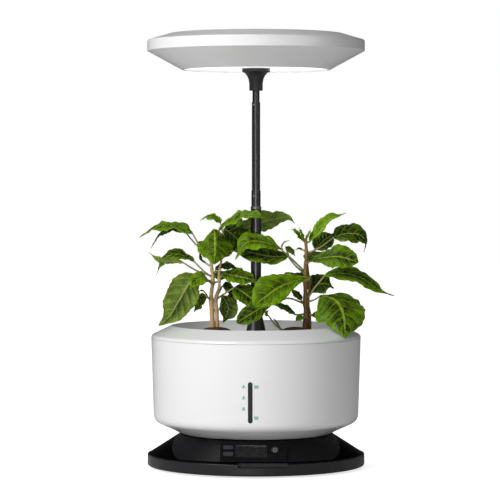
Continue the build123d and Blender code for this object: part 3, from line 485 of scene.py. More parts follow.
@dataclass(frozen=True)
class SegmentDisplay:
    """Unlit grey display glass with soft lighter patches and a fine pixel grid."""

    name: str
    colour: Colour = (0.003, 0.003, 0.0036)
    rim_colour: Colour = (0.0055, 0.0052, 0.0064)

    def build(self) -> bpy.types.Material:
        """Makes the material.

        Returns:
            The display's material.
        """
        graph = Graph(self.name)
        haze = graph.spread(graph.noise(16.0, 2.0, (0.4, 1.0, 1.0)), 0.35, 0.7)
        graph.link(graph.tint(haze, self.colour, self.rim_colour), Socket.COLOUR)
        graph.link(graph.spread(graph.noise(5.0), 0.3, 0.7, 0.34, 0.42), Socket.ROUGHNESS)
        graph.fix(Socket.SPECULAR, 0.08)
        grid = graph.add("TexBrick")
        grid.offset = 0.0
        grid.inputs["Scale"].default_value = 1.0 / (0.9 * MM)
        grid.inputs["Mortar Size"].default_value = 0.03
        graph.link(graph.place((1.0, 1.0, 1.0)), grid.inputs["Vector"])
        graph.link(graph.relief(grid.outputs["Fac"], 0.01, 0.3), Socket.NORMAL)
        return graph.material


@dataclass(frozen=True)
class GrowingSponge:
    """Damp peat sponge: dark crumbs, pale fibres and deep pores."""

    name: str = "peat_sponge"
    dark: Colour = (0.018, 0.01, 0.006)
    light: Colour = (0.12, 0.062, 0.03)

    def build(self) -> bpy.types.Material:
        """Makes the material.

        Returns:
            The sponge's material.
        """
        graph = Graph(self.name)
        crumbs = graph.cells(2.2)
        fibres = graph.spread(graph.noise(1.2, 6.0, (1.0, 3.0, 1.0)), 0.45, 0.7)
        colour = graph.tint(graph.spread(crumbs, 0.0, 0.7), self.light, self.dark)
        graph.link(graph.tint(fibres, colour, (0.2, 0.12, 0.06)), Socket.COLOUR)
        graph.link(graph.spread(crumbs, 0.0, 0.8, 0.95, 0.7), Socket.ROUGHNESS)
        bumps = graph.relief(graph.sum("SUBTRACT", 1.0, crumbs), 1.1, 0.9)
        graph.link(graph.relief(fibres, 0.3, 0.6, bumps), Socket.NORMAL)
        return graph.material


@dataclass(frozen=True)
class StemBark:
    """Living stem: purple-brown and ribbed at the foot, green towards the shoots."""

    name: str
    foot: Colour
    top: Colour
    foot_height: float
    top_height: float

    def build(self) -> bpy.types.Material:
        """Makes the material.

        Returns:
            The stem's material.
        """
        graph = Graph(self.name)
        parts = graph.add("SeparateXYZ")
        graph.link(graph.place(), parts.inputs["Vector"])
        wander = graph.sum("MULTIPLY", graph.noise(14.0, 3.0), 0.02)
        height = graph.sum("ADD", parts.outputs["Z"], wander)
        rise = graph.spread(height, self.foot_height * MM, self.top_height * MM)
        ribs = graph.noise(1.6, 4.0, (1.0, 1.0, 0.12))
        colour = graph.tint(rise, self.foot, self.top)
        shade = graph.spread(ribs, 0.3, 0.7, 0.0, 0.45)
        graph.link(graph.tint(shade, colour, tuple(part * 0.6 for part in self.foot)), Socket.COLOUR)
        graph.link(graph.spread(ribs, 0.3, 0.7, 0.36, 0.52), Socket.ROUGHNESS)
        graph.fix(Socket.SUBSURFACE, 0.08)
        graph.fix(Socket.SUBSURFACE_RADIUS, (1.0, 0.8, 0.3))
        graph.fix(Socket.SUBSURFACE_SCALE, 1.5 * MM)
        graph.link(graph.relief(ribs, 0.25, 0.7), Socket.NORMAL)
        return graph.material


LEAF_UV = "blade"
TONE = "tone"
VEIN_PAIRS = 7.0
VEIN_SWEEP = 0.2  # how far a side vein runs towards the tip, as a share of the blade's length
VEIN_CURVE = 1.25
VEIN_STAGGER = 0.35  # how far the veins of one half lie ahead of the other's, as a share of their distance


class LeafFace(Enum):
    """The two faces of a leaf blade."""

    UPPER = "upper"
    LOWER = "lower"


@dataclass(frozen=True)
class LeafSkin:
    """Leaf surface whose veins follow the blade's own coordinates, U along it and V across it."""

    face: LeafFace
    dark: Colour
    bright: Colour
    vein: Colour
    roughness: float

    def build(self) -> bpy.types.Material:
        """Makes the material.

        Returns:
            The leaf face's material.
        """
        graph = Graph(f"leaf_{self.face.value}")
        uv = graph.add("UVMap")
        uv.uv_map = LEAF_UV
        parts = graph.add("SeparateXYZ")
        graph.link(uv.outputs["UV"], parts.inputs["Vector"])
        along, across = parts.outputs["X"], parts.outputs["Y"]
        signed = graph.sum("SUBTRACT", graph.sum("MULTIPLY", across, 2.0), 1.0)
        out = graph.sum("ABSOLUTE", signed)
        # side veins leave the midrib in pairs, half a step apart left and right, and sweep to the tip
        shift = graph.sum("MULTIPLY", graph.sum("GREATER_THAN", signed, 0.0), VEIN_STAGGER)
        sweep = graph.sum("MULTIPLY", graph.sum("POWER", out, VEIN_CURVE), VEIN_SWEEP)
        swept = graph.sum("SUBTRACT", along, sweep)
        phase = graph.sum("FRACT", graph.sum("ADD", graph.sum("MULTIPLY", swept, VEIN_PAIRS), shift))
        from_vein = graph.sum("ABSOLUTE", graph.sum("SUBTRACT", phase, 0.5))
        side_veins = graph.sum("MULTIPLY", graph.spread(from_vein, 0.075, 0.0), graph.spread(out, 1.0, 0.72))
        midrib = graph.spread(out, 0.085, 0.02)
        veins = graph.sum("MAXIMUM", midrib, graph.sum("MULTIPLY", side_veins, 0.8))
        net = graph.spread(graph.cells(3.0, edges=True), 0.12, 0.0)
        blotch = graph.spread(graph.noise(9.0, 4.0), 0.32, 0.68)
        tone = graph.add("Attribute")
        tone.attribute_name = TONE
        # the tissue is painted lighter towards the margin and darker along the middle: a painted highlight on
        # the margins and painted shade in the fold along the midrib
        blotch_and_painted_light = graph.sum("ADD", graph.sum("MULTIPLY", blotch, 0.5), graph.spread(out, 0.1, 1.0, -0.46, 0.1))
        # adds each leaf's tone: paler new leaves, and painted shade on leaves set deep in the foliage
        youth_and_painted_light = graph.sum("ADD", blotch_and_painted_light, tone.outputs["Fac"], True)
        tissue = graph.tint(youth_and_painted_light, self.dark, self.bright)
        tissue = graph.tint(graph.sum("MULTIPLY", net, 0.22), tissue, self.vein)
        tissue = graph.tint(graph.spread(out, 0.94, 1.0, 0.0, 0.5), tissue, self.vein)
        graph.link(graph.tint(graph.sum("MULTIPLY", veins, 0.75), tissue, self.vein), Socket.COLOUR)
        graph.link(graph.spread(graph.noise(3.0, 4.0), 0.3, 0.7, self.roughness, self.roughness + 0.14),
                   Socket.ROUGHNESS)
        graph.fix(Socket.SPECULAR, 0.16)
        graph.fix(Socket.SUBSURFACE, 0.08)
        graph.fix(Socket.SUBSURFACE_RADIUS, (0.6, 1.0, 0.15))
        graph.fix(Socket.SUBSURFACE_SCALE, 1.2 * MM)
        sunk = -1.0 if self.face is LeafFace.UPPER else 1.0
        raised = graph.sum("MULTIPLY", veins, sunk)
        cells = graph.sum("SUBTRACT", raised, graph.sum("MULTIPLY", net, 0.1))
        graph.link(graph.relief(cells, 0.3, 0.7, graph.relief(graph.noise(6.0, 2.0), 0.5, 0.5)),
                   Socket.NORMAL)
        return graph.material




# ---------------------------------------------------------------- meshes
def vector(point: Sequence[float]) -> Vector:
    """Gives a point's place in metres from millimetres."""
    return Vector(point) * MM


def shown(name: str, vertices: Sequence[Vector], faces: Sequence[Sequence[int]], body: str,
          finishes: Sequence[Finish], slot: str, smooth: bool = True) -> bpy.types.Object:
    """Makes one piece of the visible object and lets it ride on a body.

    Args:
        name: The piece's name.
        vertices: Corners in metres, in the row frame.
        faces: Corner numbers of each face.
        body: The CAD body that it moves with.
        finishes: Its finishes, in the order of the faces' material numbers.
        slot: The record's material slot; it is not used.
        smooth: True to shade it smooth.

    Returns:
        The new object.
    """
    mesh = bpy.data.meshes.new(name)
    mesh.from_pydata([tuple(corner) for corner in vertices], [], [tuple(face) for face in faces])
    for finish in finishes:
        mesh.materials.append(material_of(finish))
    mesh.polygons.foreach_set("use_smooth", [smooth] * len(mesh.polygons))
    mesh.update()
    piece = bpy.data.objects.new(name, mesh)
    bpy.context.scene.collection.objects.link(piece)
    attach(piece, body)
    log.info("piece %s on %s", name, body)
    return piece


def dress(finish: Finish, *nodes: str) -> None:
    """Gives carried-over solids their finish.

    Args:
        finish: The finish.
        nodes: Names of the CAD nodes.
    """
    for node in nodes:
        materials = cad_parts[node].data.materials
        materials.clear()
        materials.append(material_of(finish))
        log.info("node %s dressed in %s", node, material_of(finish).name)


def flowing(points: Sequence[Vector], steps: int) -> list[Vector]:
    """Runs a smooth line through points.

    Args:
        points: At least two points.
        steps: How many stretches the line has between neighbours.

    Returns:
        Points along the line, the ends included.
    """
    ends = [points[0] * 2 - points[1], *points, points[-1] * 2 - points[-2]]
    line = []
    for a, b, c, d in zip(ends, ends[1:], ends[2:], ends[3:]):
        for step in range(steps):
            t = step / steps
            line.append(0.5 * (2 * b + (c - a) * t + (2 * a - 5 * b + 4 * c - d) * t**2
                               + (3 * b - a - 3 * c + d) * t**3))
    return [*line, points[-1]]


def tube(line: Sequence[Vector], radii: Sequence[float], sides: int) -> tuple[list[Vector], list[list[int]]]:
    """Makes a round limb with closed ends along a line.

    Args:
        line: Centre points in metres.
        radii: Radius in metres at each point.
        sides: Corners round it.

    Returns:
        Its corners and faces.
    """
    corners: list[Vector] = []
    across = (line[1] - line[0]).orthogonal().normalized()
    for index, (centre, radius) in enumerate(zip(line, radii)):
        before, after = line[max(index - 1, 0)], line[min(index + 1, len(line) - 1)]
        heading = (after - before).normalized()
        across = (across - heading * across.dot(heading)).normalized()
        other = heading.cross(across)
        for side in range(sides):
            turn = math.tau * side / sides
            corners.append(centre + (across * math.cos(turn) + other * math.sin(turn)) * radius)
    faces = [[row * sides + side, row * sides + (side + 1) % sides,
              (row + 1) * sides + (side + 1) % sides, (row + 1) * sides + side]
             for row in range(len(line) - 1) for side in range(sides)]
    faces += [list(range(sides))[::-1], list(range((len(line) - 1) * sides, len(line) * sides))]
    return corners, faces


def plate(back: Sequence[Vector], front: Sequence[Vector]) -> tuple[list[Vector], list[list[int]]]:
    """Makes a thin closed plate from the corners of its back face and the same number for its front face."""
    count = len(back)
    faces = [list(range(count))[::-1], list(range(count, 2 * count))]
    faces += [[side, (side + 1) % count, (side + 1) % count + count, side + count] for side in range(count)]
    return [*back, *front], faces


def joined(parts: Sequence[tuple[list[Vector], list[list[int]]]]) -> tuple[list[Vector], list[list[int]]]:
    """Puts several sets of corners and faces together."""
    corners: list[Vector] = []
    faces: list[list[int]] = []
    for more_corners, more_faces in parts:
        faces += [[index + len(corners) for index in face] for face in more_faces]
        corners += more_corners
    return corners, faces


# ---------------------------------------------------------------- plants
@dataclass(frozen=True)
class Leaf:
    """One leaf: where its stalk leaves the stem, how its blade lies, and its character.

    The blade follows the midrib from base to tip.  Roll tips the top of the blade to the front, fold lifts
    both halves from the midrib, bow lifts the stalk's middle as a share of its length, broadest is the share
    of the length at which the blade is widest, drip is how far its tip is drawn out, lean widens its rear half
    at the cost of its front half, and tone goes from 0, dark, to 1, bright: new leaves are set paler, and
    leaves deep in the foliage are set low as painted shade.
    """

    joint: Point
    midrib: tuple[Point, ...]
    width: float
    roll: float
    tone: float = 0.35
    fold: float = 16.0
    broadest: float = 0.4
    drip: float = 0.6
    droop: float = 0.16
    wave: float = 0.1
    twist: float = 0.0
    bow: float = -0.06
    lean: float = 0.0


@dataclass
class LeafMesh:
    """Builds one leaf's blade and stalk as closed meshes."""

    spec: Leaf
    name: str
    rows: int = 64
    columns: int = 28
    thickness: float = 0.42
    quilt: float = 0.04
    scallop: float = 0.045
    teeth: float = 11.0
    stalk_radius: float = 1.15
    stalk_sides: int = 8
    steps: int = 24
    fold_loss: float = 0.35
    rib_height: float = 0.9
    rib_width: float = 0.12
    rib_steps: int = 15
    rib_step: float = 0.065
    rib_radius: float = 0.12
    spine: list[Vector] = field(default_factory=list, init=False)
    reach: list[float] = field(default_factory=list, init=False)

    def __post_init__(self) -> None:
        """Runs the midrib's smooth line through its points."""
        self.spine = flowing([vector(point) for point in self.spec.midrib], self.steps)
        self.reach = [0.0]
        for before, after in zip(self.spine, self.spine[1:]):
            self.reach.append(self.reach[-1] + (after - before).length)

    def midrib(self, t: float) -> Vector:
        """Gives the midrib's point at a share of its length, in metres.

        Args:
            t: 0 at the base and 1 at the tip.

        Returns:
            The point.
        """
        goal = min(max(t, 0.0), 1.0) * self.reach[-1]
        index = min(max(bisect_right(self.reach, goal) - 1, 0), len(self.spine) - 2)
        share = (goal - self.reach[index]) / (self.reach[index + 1] - self.reach[index])
        return self.spine[index].lerp(self.spine[index + 1], share)

    def axes(self, t: float) -> tuple[Vector, Vector]:
        """Gives the blade's sideways and upward directions at a share of its length.

        Args:
            t: 0 at the base and 1 at the tip.

        Returns:
            The sideways direction and the direction out of the upper face.
        """
        chord = self.spine[-1] - self.spine[0]
        side = chord.cross(Vector((0, 0, 1))).normalized()
        if side.y < 0:
            side.negate()
        lift = chord.cross(side).normalized()
        if lift.z < 0:
            lift.negate()
        roll = math.radians(self.spec.roll + self.spec.twist * t)
        out = lift * math.cos(roll) - side * math.sin(roll)
        side = side * math.cos(roll) + lift * math.sin(roll)
        heading = (self.midrib(min(t + 0.04, 1.0)) - self.midrib(max(t - 0.04, 0.0))).normalized()
        side = (side - heading * side.dot(heading)).normalized()
        up = heading.cross(side)
        if up.dot(out) < 0:
            up.negate()
        return side, up

    def half_width(self, t: float) -> float:
        """Gives half the blade's width in metres at a share of its length: full, then a drawn-out drip tip."""
        swell = math.sin(math.pi * t ** (math.log(0.5) / math.log(self.spec.broadest))) ** 0.8
        drawn = min(max((t - 0.7) / 0.2, 0.0), 1.0)
        return 0.5 * self.spec.width * MM * swell * (1.0 - self.spec.drip * drawn * drawn * (3 - 2 * drawn))

    def surface(self, t: float, s: float, seed: float) -> tuple[Vector, Vector]:
        """Gives a point of the upper face.

        Args:
            t: Share of the length from the base.
            s: Place across, from -1 at one margin to 1 at the other.
            seed: Number that gives this leaf its own waves.

        Returns:
            The point in metres, and the direction out of the face.
        """
        side, up = self.axes(t)
        out = abs(s)
        notch = self.scallop * out**3 * (abs(math.sin(math.pi * (self.teeth * t + seed))) - 0.6)
        half = self.half_width(t) * (1 + math.copysign(self.spec.lean, s)) * (1 + notch)
        fold = math.radians(self.spec.fold) * (1 - self.fold_loss * t)
        widest = 0.5 * self.spec.width * MM
        # veins lie sunk, and the tissue between them swells up
        shift = VEIN_STAGGER if s > 0 else 0.0
        phase = (VEIN_PAIRS * (t - VEIN_SWEEP * out**VEIN_CURVE) + shift) % 1.0
        swell = 1.0 - (1.0 - abs(2 * phase - 1)) ** 2
        quilt = (self.quilt * self.spec.width * MM * swell * min(out / 0.12, 1.0) * (1 - out**4)
                 * min(half / widest, 1))
        wave = self.spec.wave * widest * out**2.2 * (
            math.sin(math.tau * (2.6 * t + seed) + (1.9 if s > 0 else 0.0))
            + 0.45 * math.sin(math.tau * (5.3 * t + 2.7 * seed) + (0.7 if s > 0 else 2.1))
            + 0.3 * out * math.sin(math.tau * (9.1 * t + 1.3 * seed) + (2.6 if s > 0 else 0.4)))
        wave += self.spec.wave * 0.6 * widest * noise.noise(Vector((t * 3.1, s * 1.3, seed * 9.7)))
        curl = self.spec.droop * widest * out**2.4
        reach = s * half * math.cos(fold)
        height = half * out * math.sin(fold) - curl * half / widest + quilt + wave * math.sqrt(half / widest)
        return self.midrib(t) + side * reach + up * height, up

    def build(self, plant: "Plant", seed: float) -> bpy.types.Object:
        """Makes the leaf.

        Args:
            plant: The plant that it grows on.
            seed: Number that gives this leaf its own waves.

        Returns:
            The leaf's piece.
        """
        upper, lower, uvs = [], [], []
        for row in range(self.rows + 1):
            t = 0.006 + 0.988 * row / self.rows
            for column in range(self.columns + 1):
                s = 2 * column / self.columns - 1
                point, up = self.surface(t, s, seed)
                rib = self.rib_height * math.exp(-(s / self.rib_width) ** 2) * (1 - t)
                depth = self.thickness * MM * (0.35 + 0.65 * math.sqrt(max(1 - abs(s), 0.0)) + rib)
                upper.append(point)
                lower.append(point - up * depth)
                uvs.append((t, (s + 1) / 2))
        stride, total = self.columns + 1, len(upper)
        grid = [[row * stride + column, (row + 1) * stride + column, (row + 1) * stride + column + 1,
                 row * stride + column + 1] for row in range(self.rows) for column in range(self.columns)]
        rim = [row * stride for row in range(self.rows + 1)]
        rim += [self.rows * stride + column for column in range(1, stride)]
        rim += [row * stride + self.columns for row in range(self.rows - 1, -1, -1)]
        rim += [column for column in range(self.columns - 1, 0, -1)]
        faces = [list(face) for face in grid] + [[index + total for index in face[::-1]] for face in grid]
        edge = [[a, a + total, b + total, b] for a, b in zip(rim, rim[1:] + rim[:1])]
        side, up = self.axes(0.3)
        if (self.surface(0.31, 0.0, seed)[0] - self.surface(0.3, 0.0, seed)[0]).cross(side).dot(up) < 0:
            faces, edge = [face[::-1] for face in faces], [face[::-1] for face in edge]
        stalk_corners, stalk_faces = self.stalk()
        corners, all_faces = joined([([*upper, *lower], faces + edge), (stalk_corners, stalk_faces)])
        piece = shown(self.name, corners, all_faces, "deck", plant.leaf_finishes, "leaf")
        self.mark(piece.data, len(grid), len(edge), uvs, len(stalk_corners))
        return piece

    def mark(self, mesh: bpy.types.Mesh, grid: int, edge: int, uvs: list[tuple[float, float]],
             stalk_corners: int) -> None:
        """Numbers the faces' materials and stores the blade's coordinates and tone.

        Args:
            mesh: The leaf's mesh.
            grid: How many faces each side of the blade has.
            edge: How many faces its margin has.
            uvs: The blade's coordinates, one for each corner of the upper face.
            stalk_corners: How many corners the stalk has.
        """
        stalk_faces = len(mesh.polygons) - 2 * grid - edge
        mesh.polygons.foreach_set("material_index", [0] * grid + [1] * grid + [0] * edge + [2] * stalk_faces)
        blade = [*uvs, *uvs, *[(0.0, 0.5)] * stalk_corners]
        layer = mesh.uv_layers.new(name=LEAF_UV)
        for loop, target in zip(mesh.loops, layer.data):
            target.uv = blade[loop.vertex_index]
        tone = mesh.attributes.new(TONE, "FLOAT", "POINT")
        tone.data.foreach_set("value", [self.spec.tone] * len(mesh.vertices))

    def stalk(self) -> tuple[list[Vector], list[list[int]]]:
        """Makes the stalk, which runs on under the blade as its raised midrib.

        Returns:
            Its corners and faces.
        """
        joint, base = vector(self.spec.joint), self.spine[0]
        middle = joint.lerp(base, 0.55) + Vector((0, 0, self.spec.bow * (base - joint).length))
        path = flowing([joint, middle, base - self.axes(0.0)[1] * 0.9 * MM], 8)
        radii = [self.stalk_radius * MM * (1.15 - 0.35 * index / len(path)) for index in range(len(path))]
        for step in range(1, self.rib_steps):
            t = self.rib_step * step
            radius = self.stalk_radius * MM * 0.75 * (1 - t) ** 1.2
            path.append(self.midrib(t) - self.axes(t)[1] * (0.5 * self.thickness * MM + 0.75 * radius))
            radii.append(max(radius, self.rib_radius * MM))
        return tube(path, radii, self.stalk_sides)


@dataclass(frozen=True)
class Limb:
    """One round stem: points it runs through, and its radius at the foot and at the end."""

    points: tuple[Point, ...]
    foot_radius: float
    end_radius: float


@dataclass
class Plant:
    """A potted plant in one net cup: its sponge, stems and leaves."""

    side: str
    pod_x: float
    limbs: tuple[Limb, ...]
    leaves: tuple[Leaf, ...]
    stem_finish: StemBark
    seed: int
    stem_sides: int = 18
    stem_steps: int = 14
    swelling: float = 0.28
    swelling_reach: float = 3.2
    knobs: tuple[float, float] = (0.22, 260.0)
    crumbs: tuple[tuple[float, float], ...] = ((0.55, 380.0), (0.3, 1100.0))
    crumb_limits: tuple[float, float] = (0.2, 0.25)
    plug_shoulder: float = 165.0
    plug_rings: int = 30
    plug_sides: int = 72
    plug_profile: tuple[tuple[float, float], ...] = (
        (0.0, 174.9), (6.0, 174.6), (12.0, 173.6), (16.5, 172.0), (20.0, 170.0), (22.6, 166.2), (23.0, 163.0),
        (22.2, 154.0), (19.6, 132.0), (17.0, 115.4), (0.0, 115.2))
    leaf_finishes: tuple[Finish, ...] = field(default=(), init=False)

    def build(self) -> None:
        """Makes every piece of the plant, and lets them stand for its plain solids."""
        self.leaf_finishes = (
            LeafSkin(LeafFace.UPPER, (0.0012, 0.007, 0.0001), (0.15, 0.3, 0.002), (0.27, 0.42, 0.008), 0.28),
            LeafSkin(LeafFace.LOWER, (0.016, 0.045, 0.004), (0.2, 0.3, 0.04), (0.4, 0.5, 0.12), 0.5),
            StemBark("leaf_stalk", (0.3, 0.3, 0.11), (0.33, 0.32, 0.14), 200.0, 290.0),
        )
        self.sponge()
        self.stems()
        rng = random.Random(self.seed)
        for number, spec in enumerate(self.leaves, 1):
            leaf = LeafMesh(spec, f"leaf_{self.side}_{number:02d}").build(self, rng.random())
            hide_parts(f"foliage_{self.side}")

    def sponge(self) -> None:
        """Makes the crumbly growing sponge in its cup."""
        edge = [Vector((radius, 0, height)) * MM for radius, height in self.plug_profile]
        line = flowing(edge, self.plug_rings // (len(edge) - 1) + 1)
        (fine_depth, fine), (finer_depth, finer) = self.crumbs
        highest, sunk = self.crumb_limits
        corners, faces = [], []
        for point in line[1:-1]:
            for step in range(self.plug_sides):
                turn = math.tau * step / self.plug_sides
                outward = Vector((math.cos(turn), math.sin(turn), 0.0))
                place = outward * point.x + Vector((self.pod_x * MM, 0, point.z))
                rough = noise.noise(place * fine) * fine_depth + noise.noise(place * finer) * finer_depth
                push = outward if point.z < self.plug_shoulder * MM else Vector((0, 0, 1))
                corners.append(place + push * (min(rough, highest) - sunk) * MM)
        rings = len(line) - 2
        for ring in range(rings - 1):
            for step in range(self.plug_sides):
                ahead = (step + 1) % self.plug_sides
                faces.append([ring * self.plug_sides + step, (ring + 1) * self.plug_sides + step,
                              (ring + 1) * self.plug_sides + ahead, ring * self.plug_sides + ahead])
        faces.append(list(range(self.plug_sides)))
        faces.append(list(range((rings - 1) * self.plug_sides, rings * self.plug_sides))[::-1])
        plug = shown(f"sponge_{self.side}", corners, faces, "deck", [GrowingSponge()], "growing_sponge")
        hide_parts(f"grow_plug_{self.side}")

    def stems(self) -> None:
        """Makes the stems, with a slight swelling at each leaf joint."""
        joints = [vector(leaf.joint) for leaf in self.leaves]
        depth, density = self.knobs
        parts = []
        for limb in self.limbs:
            line = flowing([vector(point) for point in limb.points], self.stem_steps)
            radii = []
            for index, point in enumerate(line):
                radius = limb.foot_radius + (limb.end_radius - limb.foot_radius) * index / (len(line) - 1)
                near = min((point - joint).length for joint in joints) / MM
                radii.append((radius * (1 + self.swelling * math.exp(-(near / self.swelling_reach) ** 2))
                              + depth * noise.noise(point * density)) * MM)
            parts.append(tube(line, radii, self.stem_sides))
        stem = shown(f"stem_{self.side}", *joined(parts), "deck", [self.stem_finish], "stem")
        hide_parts(f"plant_stem_{self.side}")


LEFT_PLANT = Plant(
    side="left",
    pod_x=-50.0,
    seed=11,
    stem_finish=StemBark("stem_left", (0.62, 0.4, 0.19), (0.56, 0.46, 0.2), 190.0, 262.0),
    limbs=(
        Limb(((-54, 0, 168), (-55, 0, 192), (-56, 0, 215), (-54, 0, 233), (-56, 0, 256), (-55, -1, 288)),
             3.4, 1.2),
        Limb(((-48, 2, 168), (-49, 1.5, 190), (-50, 1, 210), (-46, 0, 225), (-46, -1, 243), (-42, -2, 265),
              (-38, -2, 285)), 2.6, 1.1),
    ),
    leaves=(
        # the fifth number is the leaf's tone: high for new leaves, low for leaves deep in the foliage as
        # painted shade
        Leaf((-56, 0, 256), ((-79, 3, 292), (-101, 6, 300), (-127, 9, 298), (-147, 12, 286)), 34, 18, 0.5),
        Leaf((-57, 1, 262), ((-88, 18, 293), (-108, 21, 296), (-122, 24, 288), (-133, 27, 272)), 22, 20, 0.3),
        Leaf((-54, 0, 236), ((-77, 6, 257), (-97, 8, 265), (-115, 9, 259), (-126, 10, 238)), 26, 30, 0.25),
        Leaf((-54, 0, 238), ((-90, -12, 256), (-105, -14, 258), (-119, -16, 259), (-134, -18, 269)),
             13, -40, 0.9),
        Leaf((-56, 0, 250), ((-62, 2, 255), (-68, 3, 258), (-70, 4, 264), (-70, 5, 272)), 7, 10, 0.1),
        Leaf((-54, 0, 232), ((-75, -8, 240), (-85, -16, 226), (-96, -22, 208), (-107, -28, 190),
                             (-121, -32, 178)), 44, -96, 0.75, broadest=0.36, drip=0.3),
        Leaf((-54, 0, 229), ((-57, -14, 232), (-66, -24, 238), (-76, -31, 232), (-82, -35, 222)),
             22, 42, 0.55),
        Leaf((-55, 0, 209), ((-62, 4, 212), (-68, 8, 208), (-74, 12, 201), (-78, 16, 192)), 22, 66, 0.1),
        Leaf((-39, -2, 283), ((-44, 8, 305), (-53, 11, 311), (-62, 14, 312), (-71, 17, 307)), 21, 18, 0.6),
        Leaf((-39, -2, 282), ((-47, -12, 296), (-30, -20, 309), (-2, -27, 316), (17, -25, 308)),
             36, 20, 0.55),
        Leaf((-38, -2, 284), ((-24, 14, 293), (-4, 24, 302), (20, 28, 308), (40, 30, 311),
             (50, 30, 303)), 38, -46, 0.8),
        Leaf((-55, -1, 286), ((-52, -10, 298), (-51, -20, 284), (-51, -27, 268), (-52, -31, 254)),
             54, 0, 0.45,
             fold=-40, broadest=0.38, drip=0.3, wave=0.14),
        Leaf((-38, -2, 284), ((-40, 2, 298), (-31, 5, 291), (-21, 8, 282), (-10, 12, 270)), 44, 62, 0.0),
        Leaf((-38, -2, 284), ((-38, 12, 296), (-27, 15, 300), (-17, 18, 297), (-8, 22, 288)), 30, 55, 0.05),
        Leaf((-54, 0, 238), ((-51, 2, 246), (-42, 4, 250), (-31, 5, 250), (-17, 6, 243)), 20, 24, 0.2),
        Leaf((-46, 0, 234), ((-42, -8, 242), (-25, -14, 239), (-8, -20, 235), (4, -24, 230)), 28, 38, 0.3),
        Leaf((-49, 1, 210), ((-27, -8, 225), (-17, -14, 219), (-6, -19, 211), (5, -22, 203)),
             30, 45, 0.15, bow=0.0),
        Leaf((-49, 1, 210), ((-43, 4, 214), (-37, 7, 206), (-35, 9, 195), (-41, 11, 179)),
             25, 0, 0.1, broadest=0.5),
        Leaf((-49, 1, 214), ((-42, 8, 226), (-34, 12, 221), (-28, 15, 209), (-25, 17, 194)), 28, 50, 0.0),
        Leaf((-56, 0, 206), ((-60, -6, 214), (-64, -9, 219), (-68, -12, 221), (-72, -15, 219)), 6, 30, 1.0),
        Leaf((-50, 1, 196), ((-46, -6, 198), (-44, -8, 200), (-43, -9, 203), (-41, -10, 206)), 4, 30, 1.0),
        Leaf((-55, 0, 246), ((-57, 14, 262), (-60, 28, 275), (-62, 44, 280), (-62, 58, 274)), 30, 0, 0.25),
        Leaf((-53, 0, 230), ((-46, 14, 233), (-39, 30, 240), (-33, 46, 240), (-28, 60, 232)), 30, 0, 0.2),
    ),
)
